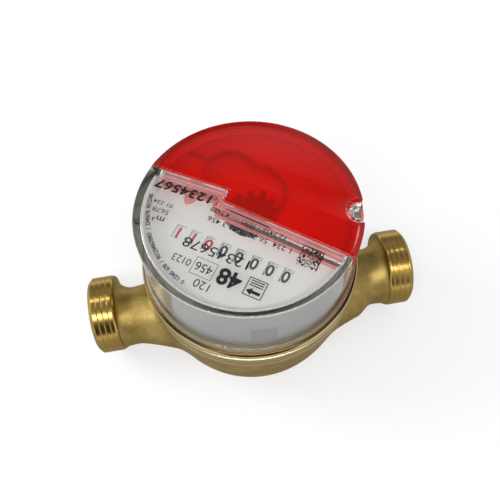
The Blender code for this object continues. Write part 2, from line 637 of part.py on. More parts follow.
SUN = (0.0, 0.0)
STAR_DIST = 2.0 * pitch_r(STAR_T, MODULE_A)
STAR_AT = (STAR_DIST * math.cos(math.radians(STAR_DEG)), STAR_DIST * math.sin(math.radians(STAR_DEG)))
for name, (cx, cy, r) in (("cut_star_window", (*STAR_AT, STAR_R + 0.7 * MM)), ("cut_lobe_a", LOBE_A),
                          ("cut_lobe_b", LOBE_B)):
    combine(dial, finish(prism(circle(r, 20, cx, cy), DIAL_Z - 3.0 * DIAL_T, DIAL_Z + DIAL_T), name, register))

# places of the wheels, each pair at its pitch distance
WHEEL1_AT = meet(SUN, pitch_r(PINION_T + WHEEL1_T, MODULE_A), WHEEL2_AT, pitch_r(PINION_T + WHEEL2_T, MODULE_B), -1.0)
WORM_AT = (BRACKET_X - 1.1 * MM, ROLLER_Y - pitch_r(WORM_WHEEL_T, MODULE_A) - WORM_R)
CARRY_R = pitch_r(CARRY_T, MODULE_A)
IDLER_AT = meet(WHEEL2_AT, CARRY_R + pitch_r(IDLER_T, MODULE_A), WORM_AT, CARRY_R + pitch_r(IDLER_T, MODULE_A), 1.0)

sun_phase = 0.0
wheel1_phase = mesh_phase(PINION_T, sun_phase, WHEEL1_T, angle(SUN, WHEEL1_AT))
pinion1_phase = 0.0
wheel2_phase = mesh_phase(PINION_T, pinion1_phase, WHEEL2_T, angle(WHEEL1_AT, WHEEL2_AT))
carry_phase = 0.0
idler_phase = mesh_phase(CARRY_T, carry_phase, IDLER_T, angle(WHEEL2_AT, IDLER_AT))
worm_gear_phase = mesh_phase(IDLER_T, idler_phase, CARRY_T, angle(IDLER_AT, WORM_AT))
top_phase = 0.0
star_phase = mesh_phase(STAR_T, top_phase, STAR_T, angle(SUN, STAR_AT))
BORE_R = ARBOR_R + BORE_PLAY
bore = circle(BORE_R, 8)

# magnet rotor: hub, flange over the magnet, low pinion and high star pinion
HUB_LOW_Z = CUP_FLOOR_Z + RUN
GEAR_UNDER_Z = GEAR_PLATE_Z - RUN
rotor = finish(turned([(BORE_R, HUB_LOW_Z), (HUB_R, HUB_LOW_Z), (HUB_R, FLANGE_Z), (DRIVE_MAGNET_R, FLANGE_Z),
                       (DRIVE_MAGNET_R, FLANGE_Z + FLANGE_T), (HUB_R, FLANGE_Z + FLANGE_T),
                       (HUB_R, GEAR_UNDER_Z), (BORE_R, GEAR_UNDER_Z)], 12), "magnet_rotor", register, NATURAL)
low = finish(prism(gear_outline(PINION_T, MODULE_A, sun_phase), FLANGE_Z + 0.5 * FLANGE_T,
                   WHEEL1_Z + WHEEL_W + 0.3 * MM, [circle(BORE_R + 0.1 * MM, 8)]), "form_low_pinion", register)
combine(rotor, low, 'UNION')
high = finish(prism(gear_outline(STAR_T, MODULE_A, top_phase), GEAR_UNDER_Z - 1.8 * MM,
                    GEAR_UNDER_Z - 0.1 * MM, [circle(BORE_R + 0.1 * MM, 8)]), "form_high_pinion", register)
combine(rotor, high, 'UNION')
finish(turned([(HUB_R + FIT, MAGNET_Z), (DRIVE_MAGNET_R, MAGNET_Z), (DRIVE_MAGNET_R, MAGNET_Z + MAGNET_T),
               (HUB_R + FIT, MAGNET_Z + MAGNET_T)], 16), "follower_magnet", register, FERRITE)


def double_gear(name, at, low_gear, low_z, high_gear, high_z, look=NATURAL):
    """Two gears on one hub; each gear is (teeth, module, phase), each z a pair."""
    base = finish(prism(gear_outline(*low_gear), low_z[0], low_z[1], [bore]), name, register, look, (*at, 0.0))
    upper = finish(prism(gear_outline(*high_gear), high_z[0], high_z[1], [bore]), "form_" + name, register,
                   None, (*at, 0.0))
    combine(base, upper, 'UNION')
    return base


wheel1 = double_gear("wheel_one", WHEEL1_AT, (WHEEL1_T, MODULE_A, wheel1_phase), (WHEEL1_Z, WHEEL1_Z + WHEEL_W),
                     (PINION_T, MODULE_B, pinion1_phase),
                     (WHEEL1_Z + 0.5 * WHEEL_W, WHEEL2_Z + WHEEL_W + 0.3 * MM))
wheel2 = double_gear("wheel_two", WHEEL2_AT, (WHEEL2_T, MODULE_B, wheel2_phase), (WHEEL2_Z, WHEEL2_Z + WHEEL_W),
                     (CARRY_T, MODULE_A, carry_phase),
                     (WHEEL2_Z + 0.5 * WHEEL_W, IDLER_Z + WHEEL_W))
idler = finish(prism(gear_outline(IDLER_T, MODULE_A, idler_phase), IDLER_Z, IDLER_Z + WHEEL_W, [bore]),
               "idler_wheel", register, NATURAL, (*IDLER_AT, 0.0))


def worm_thread(r_root, r_tip, lead, turns, z_mid, seg=8):
    """A right-hand thread wound on the hub; its crest faces +Y at z_mid."""
    bm = bmesh.new()
    total = turns * seg
    half_root = 0.30 * lead
    half_tip = 0.12 * lead
    sink = r_root - 0.25 * MM
    rows = []
    for k in range(total + 1):
        a = math.pi / 2.0 + 2.0 * math.pi * (k - total / 2.0) / seg
        z = z_mid + lead * (k - total / 2.0) / seg
        row = [(sink, -half_root), (r_root, -half_root), (r_tip, -half_tip), (r_tip, half_tip),
               (r_root, half_root), (sink, half_root)]
        rows.append([bm.verts.new((r * math.cos(a), r * math.sin(a), z + dz)) for r, dz in row])
    for a, b in zip(rows, rows[1:]):
        for i in range(6):
            n = (i + 1) % 6
            bm.faces.new((a[i], a[n], b[n], b[i]))
    bm.faces.new(rows[0])
    bm.faces.new(rows[-1])
    return bm


LEAD = math.pi * MODULE_A
worm = finish(prism(gear_outline(CARRY_T, MODULE_A, worm_gear_phase), IDLER_Z, IDLER_Z + WHEEL_W, [bore]),
              "worm_arbor", register, NATURAL, (*WORM_AT, 0.0))
WORM_ROOT_R = WORM_R - 0.38 * MM
hub = finish(turned([(BORE_R, IDLER_Z + 0.5 * WHEEL_W), (WORM_ROOT_R, IDLER_Z + 0.5 * WHEEL_W),
                     (WORM_ROOT_R, GEAR_UNDER_Z), (BORE_R, GEAR_UNDER_Z)], 10),
             "form_worm_hub", register, None, (*WORM_AT, 0.0))
combine(worm, hub, 'UNION')
combine(worm, finish(worm_thread(WORM_ROOT_R, WORM_R + 0.25 * MM, LEAD, WORM_TURNS, ROLLER_Z), "form_worm_thread",
                     register, None, (*WORM_AT, 0.0)), 'UNION')

# star indicator under its round window
points = []
for k in range(STAR_ARMS):
    a = 2.0 * math.pi * k / STAR_ARMS
    w = math.pi / STAR_ARMS
    for r, da in ((STAR_R - 2.2 * MM, -w), (STAR_R, -0.35 * w), (STAR_R, 0.35 * w)):
        points.append((r * math.cos(a + da), r * math.sin(a + da)))
star = finish(prism(points, STAR_Z, STAR_Z + 1.0 * MM), "flow_star", register, BLACK, (*STAR_AT, 0.0))
combine(star, finish(prism(gear_outline(STAR_T, MODULE_A, star_phase), GEAR_UNDER_Z - 1.5 * MM,
                           GEAR_UNDER_Z - 0.4 * MM), "form_star_pinion", register, None, (*STAR_AT, 0.0)), 'UNION')
STAR_STEM_R = 0.8 * MM
combine(star, finish(prism(circle(STAR_STEM_R, 10), GEAR_UNDER_Z - 1.0 * MM, STAR_Z + 0.5 * MM),
                     "form_star_stem", register, None, (*STAR_AT, 0.0)), 'UNION')

# arbors that the wheels turn on, from the cup's floor to the gear plate
for name, at in (("arbor_sun", SUN), ("arbor_one", WHEEL1_AT), ("arbor_two", WHEEL2_AT),
                 ("arbor_idler", IDLER_AT), ("arbor_worm", WORM_AT)):
    finish(prism(circle(ARBOR_R, 8), CUP_FLOOR_Z + FIT, GEAR_PLATE_Z - FIT), name, register, STEEL, (*at, 0.0))

# counter frame: gear plate on posts, with two brackets for the shafts
PLATE_EDGE_Y = ROLLER_Y - ROLLER_R + 0.3 * MM


def plate_outline(r, limit, seg=40):
    a0 = math.asin(limit / r)
    lo, hi = math.pi - a0, 2.0 * math.pi + a0
    return [(r * math.cos(lo + (hi - lo) * k / seg), r * math.sin(lo + (hi - lo) * k / seg))
            for k in range(seg + 1)]


TRANSFER_DIST = pitch_r(SIDE_T + TRANSFER_T, MODULE_C)
TRANSFER_Z = ROLLER_Z - TRANSFER_DIST
TRANSFER_SHAFT_R = ARBOR_R
frame = finish(prism(plate_outline(GEAR_PLATE_R, PLATE_EDGE_Y), GEAR_PLATE_Z, GEAR_PLATE_Z + GEAR_PLATE_T,
                     [circle(STAR_STEM_R + RUN, 12, *STAR_AT)]), "counter_frame", register, WHITE)
POST_R = 1.2 * MM
for k, deg in enumerate((-160.0, -95.0, -12.0)):
    px = 0.88 * GEAR_PLATE_R * math.cos(math.radians(deg))
    py = 0.88 * GEAR_PLATE_R * math.sin(math.radians(deg))
    combine(frame, finish(prism(circle(POST_R, 10, px, py), CUP_FLOOR_Z + FIT, GEAR_PLATE_Z + 0.5 * GEAR_PLATE_T),
                          "form_post_%d" % (k + 1), register), 'UNION')
for k, sx in enumerate((-1.0, 1.0)):
    y0, y1 = ROLLER_Y - 2.0 * MM, ROLLER_Y + 2.4 * MM
    z0, z1 = CUP_FLOOR_Z + FIT, GEAR_PLATE_Z + 0.8 * GEAR_PLATE_T
    z2 = GEAR_PLATE_Z + 0.1 * MM
    side = [(y0, z0), (y1, z0), (y1, ROLLER_Z + 2.4 * MM), (ROLLER_Y - 3.0 * MM, z1), (PLATE_EDGE_Y - 1.0 * MM, z1),
            (PLATE_EDGE_Y - 1.0 * MM, z2), (ROLLER_Y - 4.2 * MM, z2), (ROLLER_Y - 4.2 * MM, TRANSFER_Z + 4.0 * MM),
            (y0, TRANSFER_Z + 1.6 * MM)]
    bm = prism(side, 0.0, BRACKET_T, [circle(SHAFT_R + BORE_PLAY, 10, ROLLER_Y, ROLLER_Z),
                                      circle(TRANSFER_SHAFT_R + BORE_PLAY, 8, ROLLER_Y, TRANSFER_Z)])
    x0 = BRACKET_X if sx > 0 else -BRACKET_X - BRACKET_T
    moved(bm, Matrix(((0, 0, 1, x0), (1, 0, 0, 0), (0, 1, 0, 0), (0, 0, 0, 1))))
    combine(frame, finish(bm, "form_bracket_%d" % (k + 1), register), 'UNION')

# number rollers on their shaft, transfer pinions below them
ALONG_X = Matrix(((0, 0, 1, 0), (1, 0, 0, 0), (0, 1, 0, 0), (0, 0, 0, 1)))
shaft_half = BRACKET_X + BRACKET_T
for name, r, z in (("roller_shaft", SHAFT_R, ROLLER_Z), ("transfer_shaft", TRANSFER_SHAFT_R, TRANSFER_Z)):
    finish(moved(prism(circle(r, 10), -shaft_half, shaft_half), ALONG_X), name, register, STEEL, (0.0, ROLLER_Y, z))

roller_bore = circle(SHAFT_R + BORE_PLAY, 8)
DOWN = -math.pi / 2.0
for k in range(ROLLERS):
    x = ROLLER_FIRST_X - k * ROLLER_PITCH
    roller = finish(moved(prism(circle(ROLLER_R, 16), -0.5 * ROLLER_W, 0.5 * ROLLER_W, [roller_bore]), ALONG_X),
                    "number_roller_%d" % (k + 1), register, WHITE, (x, ROLLER_Y, ROLLER_Z))
    if k == 0:
        # the first roller is driven by the worm at its end
        wheel_x = WORM_AT[0] - ROLLER_FIRST_X
        tooth = gear_outline(WORM_WHEEL_T, MODULE_A, math.pi + math.pi / WORM_WHEEL_T)
        extra = finish(moved(prism(tooth, wheel_x - 0.5 * MM, wheel_x + 0.5 * MM, [roller_bore]), ALONG_X),
                       "form_worm_wheel", register, None, (x, ROLLER_Y, ROLLER_Z))
        tube = finish(moved(prism(circle(ROLLER_HUB_R, 12), 0.5 * ROLLER_W - 0.3 * MM, wheel_x + 0.4 * MM,
                                  [roller_bore]), ALONG_X), "form_roller_hub", register, None, (x, ROLLER_Y, ROLLER_Z))
        combine(roller, tube, 'UNION')
        combine(roller, extra, 'UNION')
        continue
    # side gear that the transfer pinion drives; a gap faces straight down
    side_phase = DOWN + math.pi / SIDE_T
    tooth = gear_outline(SIDE_T, MODULE_C, side_phase, True)
    gear = finish(moved(prism(tooth, 0.5 * ROLLER_W - 0.3 * MM, 0.5 * ROLLER_W + SIDE_GEAR_W, [roller_bore]),
                        ALONG_X), "form_side_gear_%d" % (k + 1), register, None, (x, ROLLER_Y, ROLLER_Z))
    combine(roller, gear, 'UNION')
    pin_phase = math.pi / 2.0
    tooth = gear_outline(TRANSFER_T, MODULE_C, pin_phase, True)
    finish(moved(prism(tooth, -0.32 * MM, 0.32 * MM, [circle(TRANSFER_SHAFT_R + BORE_PLAY, 8)]), ALONG_X),
           "transfer_pinion_%d" % k, register, BLACK,
           (x + 0.5 * ROLLER_W + 0.5 * SIDE_GEAR_W + 0.2 * MM, ROLLER_Y, TRANSFER_Z))
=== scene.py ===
"""Water meter on a pale studio floor: cast brass body, clear turnable register, red half cover.

Sizes are in millimetres. Heights of the pipe body are counted from the pipe's axis, which
lies 15 mm above the floor. The register has its own frame, turned about Z, in which +X is
the reading direction and +Y the top of the figures.
"""
import bmesh
import bpy
import math
import numpy as np
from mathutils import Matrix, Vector
from mathutils.geometry import tessellate_polygon


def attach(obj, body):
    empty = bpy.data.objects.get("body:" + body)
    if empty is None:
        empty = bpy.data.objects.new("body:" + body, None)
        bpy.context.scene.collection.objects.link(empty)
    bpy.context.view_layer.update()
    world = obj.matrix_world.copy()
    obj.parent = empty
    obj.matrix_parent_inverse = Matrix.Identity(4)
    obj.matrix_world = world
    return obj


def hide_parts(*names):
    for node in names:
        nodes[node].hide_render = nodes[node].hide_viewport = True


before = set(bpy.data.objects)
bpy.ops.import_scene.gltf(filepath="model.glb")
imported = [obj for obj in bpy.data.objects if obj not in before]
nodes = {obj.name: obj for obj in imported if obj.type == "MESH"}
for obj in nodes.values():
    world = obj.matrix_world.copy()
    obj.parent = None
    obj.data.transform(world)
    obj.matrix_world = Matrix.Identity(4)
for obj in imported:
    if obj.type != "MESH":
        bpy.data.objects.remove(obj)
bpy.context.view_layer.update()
MM = 0.001

# Camera: a 41 mm lens above the front edge, turned a little to the left, with the small
# upward shift that puts the meter in the middle of the frame.
camera_data = bpy.data.cameras.new("camera")
camera_data.sensor_width = 36.0
camera_data.lens = 41.34834
camera_data.shift_x = -0.00259
camera_data.shift_y = 0.080466
camera = bpy.data.objects.new("camera", camera_data)
camera.location = (-0.011772437, -0.087869443, 0.199345529)
camera.rotation_euler = (0.447863907, 0.019598834, -0.173953116)
camera_data.clip_start = 0.005
bpy.context.scene.collection.objects.link(camera)
bpy.context.scene.camera = camera
bpy.context.scene.view_settings.view_transform = 'Standard'


# Light: a plain white room, a window behind on the left and a long lamp in front. The white
# of the world is for the camera, for glass and for gloss, and the grey of it lights the meter.
def linear(code):
    """sRGB hex to the linear values that the shaders take."""
    parts = [int(code[i:i + 2], 16) / 255.0 for i in (1, 3, 5)]
    return [p / 12.92 if p <= 0.04045 else ((p + 0.055) / 1.055) ** 2.4 for p in parts] + [1.0]


def plug(tree, node, **links):
    """Set a node's inputs, by name or as i and index, to values or to outputs of other nodes."""
    for key, value in links.items():
        by_index = key[0] == "i" and key[1:].isdigit()
        socket = node.inputs[int(key[1:]) if by_index else key.replace("_", " ")]
        if isinstance(value, bpy.types.NodeSocket):
            tree.links.new(value, socket)
        else:
            socket.default_value = value


def surface(tree, **links):
    """Set inputs of the shader that a new material comes with."""
    plug(tree, tree.nodes["Principled BSDF"], **links)


def add(tree, kind, settings=None, stops=(), **links):
    """Add a node, with its own properties, a ramp's stops, and its inputs."""
    node = tree.nodes.new("ShaderNode" + kind)
    for key, value in (settings or {}).items():
        setattr(node, key, value)
    for count, (position, code) in enumerate(stops):
        if count == len(node.color_ramp.elements):
            node.color_ramp.elements.new(position)
        node.color_ramp.elements[count].position = position
        node.color_ramp.elements[count].color = linear(code)
    plug(tree, node, **links)
    return node


def either(tree, a, b):
    """The larger of two values: of two switches, on when either is."""
    return add(tree, "Math", {"operation": "MAXIMUM"}, i0=a, i1=b).outputs[0]


def seen_rays(tree):
    """The light path of a tree, and a switch that is on for camera, transmission and glossy rays."""
    ray = add(tree, "LightPath")
    direct = either(tree, ray.outputs["Is Camera Ray"], ray.outputs["Is Transmission Ray"])
    return ray, either(tree, direct, ray.outputs["Is Glossy Ray"])


def material(name, empty=False):
    """A new material with its node tree, which holds Blender's own shader unless it's to be empty."""
    mat = bpy.data.materials.new(name)
    mat.use_nodes = True
    if empty:
        mat.node_tree.nodes.clear()
    return mat, mat.node_tree


ROOM = 0.58
world = bpy.data.worlds.new("studio")
world.use_nodes = True
bpy.context.scene.world = world
wt = world.node_tree
wt.nodes.clear()
_, seen = seen_rays(wt)
shade = add(wt, "Mix", {"data_type": "RGBA"}, Factor=seen, i6=(ROOM, ROOM, ROOM * 1.01, 1.0),
            i7=(1.0, 1.0, 1.0, 1.0))
sky = add(wt, "Background", Color=shade.outputs[2], Strength=1.0)
wt.links.new(sky.outputs[0], add(wt, "OutputWorld").inputs["Surface"])


def lamp(name, place, aim, wide, tall, power):
    """A soft lamp at place (mm), wide along X, turned to face aim, with its power in watts."""
    data = bpy.data.lights.new(name, 'AREA')
    data.shape = 'RECTANGLE'
    data.size = wide * MM
    data.size_y = tall * MM
    data.energy = power
    obj = bpy.data.objects.new(name, data)
    obj.location = [v * MM for v in place]
    way = np.array(aim, float) - np.array(place, float)
    way /= np.linalg.norm(way)
    obj.rotation_euler = (math.acos(-way[2]), 0.0, math.atan2(-way[0], way[1]))
    bpy.context.scene.collection.objects.link(obj)


MIDDLE = (0.0, 0.0, 20.0)
lamp("window_left", (-430.0, 160.0, 330.0), MIDDLE, 260.0, 260.0, 1.10)
lamp("front_strip", (-30.0, -266.0, 474.0), MIDDLE, 460.0, 70.0, 1.20)


# Cards: plain sheets of card that only reflections see, so that metal and clear plastic show
# their form. Grey ones hang overhead and stand all round, and two small bright ones put the
# long lights on the necks and collars.
def level(x0, x1, y0, y1, z):
    """Corners of a sheet that lies flat at height z."""
    return [(x0, y0, z), (x1, y0, z), (x1, y1, z), (x0, y1, z)]


def upright(x0, y0, x1, y1, low, high):
    """Corners of a sheet that stands on the line from x0, y0 to x1, y1."""
    return [(x0, y0, low), (x1, y1, low), (x1, y1, high), (x0, y0, high)]


def sheet(name, corners):
    """One flat rectangle, in mm over the floor."""
    mesh = bpy.data.meshes.new(name)
    mesh.from_pydata([[v * MM for v in c] for c in corners], [], [(0, 1, 2, 3)])
    obj = bpy.data.objects.new(name, mesh)
    bpy.context.scene.collection.objects.link(obj)
    return obj


FADE_WAY, FADE_START, FADE_END = (0.39, 0.92, 0.0), 0.32, 0.44


def card(name, corners, shade, far_shade=None):
    """A card of one shade, or one that fades along FADE_WAY from shade to far_shade."""
    obj = sheet(name, corners)
    for kind in ("camera", "diffuse", "transmission", "shadow", "volume_scatter"):
        setattr(obj, "visible_" + kind, False)
    mat, tree = material(name, empty=True)
    place = add(tree, "TexCoord").outputs["Object"]
    along = add(tree, "VectorMath", {"operation": "DOT_PRODUCT"}, i0=place, i1=FADE_WAY)
    fade = add(tree, "MapRange", {"interpolation_type": 'SMOOTHSTEP'}, Value=along.outputs["Value"],
               i1=FADE_START, i2=FADE_END, i3=shade, i4=shade if far_shade is None else far_shade)
    plain = add(tree, "Emission", Color=(1.0, 1.0, 1.0, 1.0), Strength=fade.outputs[0])
    tree.links.new(plain.outputs[0], add(tree, "OutputMaterial").inputs["Surface"])
    obj.data.materials.append(mat)


CEILING, SIDE_X, BACK_Y, FRONT_Y = 520, 640, 800, -620
card("card_overhead", level(-105, 180, -230, 465, CEILING), 0.04, 0.50)
card("card_over_back", level(-105, 180, 465, 900, CEILING), 0.04)
card("card_over_left", level(-600, -105, -230, 900, CEILING), 0.42)
card("card_over_right", level(180, 600, -230, 900, CEILING), 0.42)
card("card_front", upright(-390, FRONT_Y, 290, FRONT_Y, 45, 700), 0.04)
card("card_back", upright(-180, BACK_Y, 270, BACK_Y, 110, 480), 0.08)
card("card_back_left", upright(-700, BACK_Y, -180, BACK_Y, 110, 480), 0.30)
card("card_back_right", upright(270, BACK_Y, 700, BACK_Y, 110, 480), 0.30)
card("card_left", upright(-SIDE_X, -300, -SIDE_X, 700, 0, 500), 0.12)
card("card_right", upright(SIDE_X, -300, SIDE_X, 700, 0, 500), 0.12)
card("card_high_left", level(-185, -120, 165, 215, 500), 8.0)
card("card_high_right", level(204, 236, 185, 222, 500), 9.0)


# Floor: a white painted table. To the camera it turns from pale grey near the meter to white
# further out, a painted shade round the meter, and keeps the soft shadow; its paint lights the
# meter from below. What metal mirrors of it darkens close to the meter: a painted shade where
# the meter stands in the light's way.
floor = sheet("floor", level(-2500, 2500, -2500, 2500, 0))
floor_mat, ft = material("studio_table", empty=True)
paint = add(ft, "BsdfDiffuse", Color=(0.84, 0.84, 0.85, 1.0))
faint = add(ft, "BsdfDiffuse", Color=(0.50, 0.50, 0.51, 1.0))
away = add(ft, "VectorMath", {"operation": "LENGTH"}, i0=add(ft, "TexCoord").outputs["Object"])
NEAR, NEAR_GLOSS, FAR = 0.06, 0.04, 0.30
# Painted shade: the floor's glow is weaker near the meter, a grey halo round it.
whiter = add(ft, "MapRange", {"interpolation_type": 'SMOOTHSTEP'}, Value=away.outputs["Value"],
             i1=NEAR, i2=FAR, i3=0.50, i4=0.86)
glow = add(ft, "Emission", Color=(1.0, 1.0, 1.0, 1.0), Strength=whiter.outputs[0])
shown = add(ft, "AddShader", i0=faint.outputs[0], i1=glow.outputs[0])
ray, seen = seen_rays(ft)
table = add(ft, "MixShader", Fac=seen, i1=paint.outputs[0], i2=shown.outputs[0])
shadow = add(ft, "MapRange", Value=away.outputs["Value"], i1=NEAR_GLOSS, i2=FAR, i3=0.55, i4=0.0)
dim = add(ft, "Math", {"operation": "MULTIPLY"}, i0=shadow.outputs[0], i1=ray.outputs["Is Glossy Ray"])
dark = add(ft, "Emission", Strength=0.0)
top = add(ft, "MixShader", Fac=dim.outputs[0], i1=table.outputs[0], i2=dark.outputs[0])
ft.links.new(top.outputs[0], add(ft, "OutputMaterial").inputs["Surface"])
floor.data.materials.append(floor_mat)


# Brass body: one sand casting in low-lead brass. The bowl carries the rim, and two pipe
# stubs open out into it in flat wings. It is drawn as two grids that are eased onto their
# common rounded surface where they meet.
LIFT = 15.0
TAU = 2.0 * math.pi


def mesh_object(name, points, faces, smooth=True):
    """Points in mm, with heights over the pipe's axis, and faces to an object at the origin."""
    points = np.asarray(points, float).reshape(-1, 3) + (0.0, 0.0, LIFT)
    mesh = bpy.data.meshes.new(name)
    mesh.from_pydata((points * MM).tolist(), [], [tuple(f) for f in faces])
    mesh.polygons.foreach_set("use_smooth", [smooth] * len(mesh.polygons))
    mesh.update()
    obj = bpy.data.objects.new(name, mesh)
    bpy.context.scene.collection.objects.link(obj)
    return obj


def grid_faces(nu, nv, around=True, flip=False, start=0):
    """Quads of a grid whose first index runs round (closed) and second runs along."""
    i, j = np.meshgrid(np.arange(nu if around else nu - 1), np.arange(nv - 1), indexing="ij")
    n = (i + 1) % nu
    quads = np.stack([i * nv + j, n * nv + j, n * nv + j + 1, i * nv + j + 1], -1).reshape(-1, 4)
    return (quads[:, ::-1] if flip else quads) + start


def through(x, knots, values):
    """Smooth curve through the knots: cubic Hermite pieces with the mean of the chords as slope."""
    knots, values = np.array(knots, float), np.array(values, float)
    chord = np.diff(values) / np.diff(knots)
    slope = np.concatenate([chord[:1], 0.5 * (chord[1:] + chord[:-1]), chord[-1:]])
    x = np.clip(x, knots[0], knots[-1])
    k = np.clip(np.searchsorted(knots, x) - 1, 0, len(knots) - 2)
    h = knots[k + 1] - knots[k]
    t = (x - knots[k]) / h
    return ((2 * t**3 - 3 * t**2 + 1) * values[k] + (t**3 - 2 * t**2 + t) * h * slope[k]
            + (3 * t**2 - 2 * t**3) * values[k + 1] + (t**3 - t**2) * h * slope[k + 1])


def smooth_step(t):
    """Ease from 0 to 1: three t squared less two t cubed."""
    return t * t * (3.0 - 2.0 * t)


BASE_Z = -LIFT
BOWL_Z = [BASE_Z, -14.3, -12.2, -6.1, 0.0, 9.95, 19.9]
BOWL_R = [26.4, 27.1, 27.8, 30.1, 31.6, 33.0, 34.0]
NECK_END, NECK_X, WING_X = 46.4, 40.6, 18.0
NECK_HALF, NECK_SIDE, NECK_FLARE = 9.9, -2.2, 2.9
WING_WIDE, WING_TALL, WING_SIDE, WING_SQUARE = 6.7, 3.3, -2.4, 0.12
OUTLET_X, OUTLET_RUN, OUTLET_WIDE = 41.0, 6.0, 1.1


def stub_size(x):
    """Half width, half height, centre and squareness of the stub's section at x.

    The neck is round. Towards the bowl it opens into a wing that is wider, taller and squarer,
    and at its end it flares by a quarter circle. The outlet (+X) is wider on its -Y side.
    """
    wide = OUTLET_WIDE * smooth_step(np.clip((OUTLET_X - x) / OUTLET_RUN, 0.0, 1.0) * (x > 0.0))
    x = np.abs(x)
    w = (NECK_X - x) / (NECK_X - WING_X)
    u = np.clip(0.5 * (w + np.sqrt(w * w + 0.004)), 0.0, 1.0)
    wing = u * (0.72 + 0.28 * u)
    cos_t = np.clip(1.0 - (NECK_END - x) / (NECK_END - NECK_X), 0.0, 1.0)
    sin_t = np.sqrt(1.0 - cos_t**2)
    flare = NECK_FLARE * (1.0 - sin_t)
    return (NECK_HALF + WING_WIDE * wing + flare + wide, NECK_HALF + WING_TALL * wing + flare,
            (NECK_SIDE + WING_SIDE * wing) * sin_t - wide, 1.0 - WING_SQUARE * wing)


FILLET = 2.2


def cast_field(p):
    """Signed distances to the bowl and to the stub, and their union with a fillet between them."""
    x, y, z = p[..., 0], p[..., 1], p[..., 2]
    bowl = np.hypot(x, y) - through(z, BOWL_Z, BOWL_R)
    a, b, c, q = stub_size(x)
    e = 2.0 / q
    ring = ((np.abs(y - c) / a) ** e + (np.abs(z) / b) ** e) ** (1.0 / e)
    stub = (ring - 1.0) * np.minimum(a, b)
    h = np.clip(0.5 + 0.5 * (stub - bowl) / FILLET, 0.0, 1.0)
    return bowl, stub, stub * (1 - h) + bowl * h - FILLET * h * (1 - h)


OVERLAP, SINK, STEP, LONGEST = 1.2, 0.25, 0.01, 1.5


def settle(p, own):
    """Move the bowl's (own 0) or a stub's (own 1) points onto the union, by Newton steps along
    its slope. Points that overlap the other piece sink a little under it."""
    near = cast_field(p)[1 - own] > -OVERLAP
    for _ in range(5):
        f = cast_field(p)[2]
        grad = np.stack([(cast_field(p + d)[2] - f) / STEP for d in STEP * np.eye(3)], -1)
        steep = np.maximum((grad**2).sum(-1), 0.3)
        move = np.clip(f, -LONGEST, LONGEST)[..., None] * grad / steep[..., None]
        p = np.where(near[..., None], p - move, p)
    bowl, stub, _ = cast_field(p)
    past = (bowl - stub) if own == 0 else (stub - bowl)
    sink = SINK * np.clip(past / OVERLAP, 0.0, 1.0)
    return p - sink[..., None] * grad


BOWL_COLS, BOWL_ROWS, FOOT_R = 360, 84, 25.6
turn = np.linspace(0.0, TAU, BOWL_COLS, endpoint=False)
rise = np.linspace(BASE_Z + 0.1, BOWL_Z[-1], BOWL_ROWS)
bowl_r = through(rise, BOWL_Z, BOWL_R)
bowl = np.stack([np.cos(turn)[:, None] * bowl_r, np.sin(turn)[:, None] * bowl_r,
                 np.broadcast_to(rise, (BOWL_COLS, BOWL_ROWS))], -1)
bowl = settle(bowl, 0)
bowl[..., 2] = np.maximum(bowl[..., 2], BASE_Z)
foot = np.stack([np.cos(turn) * FOOT_R, np.sin(turn) * FOOT_R, np.full(BOWL_COLS, BASE_Z)], -1)
centre = np.zeros((BOWL_COLS, 3)) + (0.0, 0.0, BASE_Z)
bowl = np.concatenate([centre[:, None], foot[:, None], bowl], 1)
cast_points = [bowl.reshape(-1, 3)]
cast_faces = [grid_faces(BOWL_COLS, BOWL_ROWS + 2)]
STUB_COLS, STUB_ROWS, FLARE_ROWS, STUB_X = 180, 110, 30, 19.0
lap = np.linspace(0.0, TAU, STUB_COLS, endpoint=False)
for side in (-1.0, 1.0):
    bend = np.linspace(0.0, 0.5 * np.pi, FLARE_ROWS + 1)[1:]
    run = np.concatenate([np.linspace(STUB_X, NECK_X, STUB_ROWS - FLARE_ROWS),
                          NECK_END - (NECK_END - NECK_X) * (1 - np.sin(bend))])
    a, b, c, q = stub_size(run * side)
    ct, st = np.cos(lap)[:, None], np.sin(lap)[:, None]
    stub = np.stack([np.broadcast_to(run * side, (STUB_COLS, STUB_ROWS)),
                     c + a * np.sign(ct) * np.abs(ct) ** q, b * np.sign(st) * np.abs(st) ** q], -1)
    stub = settle(stub, 1)
    stub[..., 2] = np.maximum(stub[..., 2], BASE_Z)
    start = sum(map(len, cast_points))
    cast_faces.append(grid_faces(STUB_COLS, STUB_ROWS, flip=side < 0, start=start))
    cast_points.append(stub.reshape(-1, 3))
cast_body = mesh_object("cast_body", np.concatenate(cast_points), np.concatenate(cast_faces))
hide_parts("brass_body")
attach(cast_body, "meter_body")


# Cast brass, shot-blasted after casting: a satin yellow metal with a fine sandy grain and
# slow patches of greener and browner tarnish.
def metal(name, base, rough):
    """A bare metal's material, with its node tree."""
    mat, tree = material(name)
    surface(tree, Metallic=1.0, Base_Color=linear(base), Roughness=rough, Specular_Tint=linear("#F4ECDC"))
    return mat, tree


cast, tree = metal("shot_blasted_cast_brass", "#937E48", 0.4)
place = add(tree, "TexCoord").outputs["Object"]
patches = add(tree, "TexNoise", Vector=place, Scale=130.0, Detail=8.0, Roughness=0.72)
tarnish = add(tree, "ValToRGB", stops=[(0.30, "#927E46"), (0.50, "#AC9354"), (0.70, "#C6AC6C")],
              Fac=patches.outputs["Fac"])
dull = add(tree, "MapRange", Value=patches.outputs["Fac"], To_Min=0.50, To_Max=0.40)
grit = add(tree, "TexNoise", Vector=place, Scale=2100.0, Detail=3.0, Roughness=0.7)
sand = add(tree, "Bump", Strength=0.8, Distance=0.12 * MM, Height=grit.outputs["Fac"])
surface(tree, Base_Color=tarnish.outputs["Color"], Roughness=dull.outputs[0], Normal=sand.outputs[0])
cast_body.data.materials.append(cast)


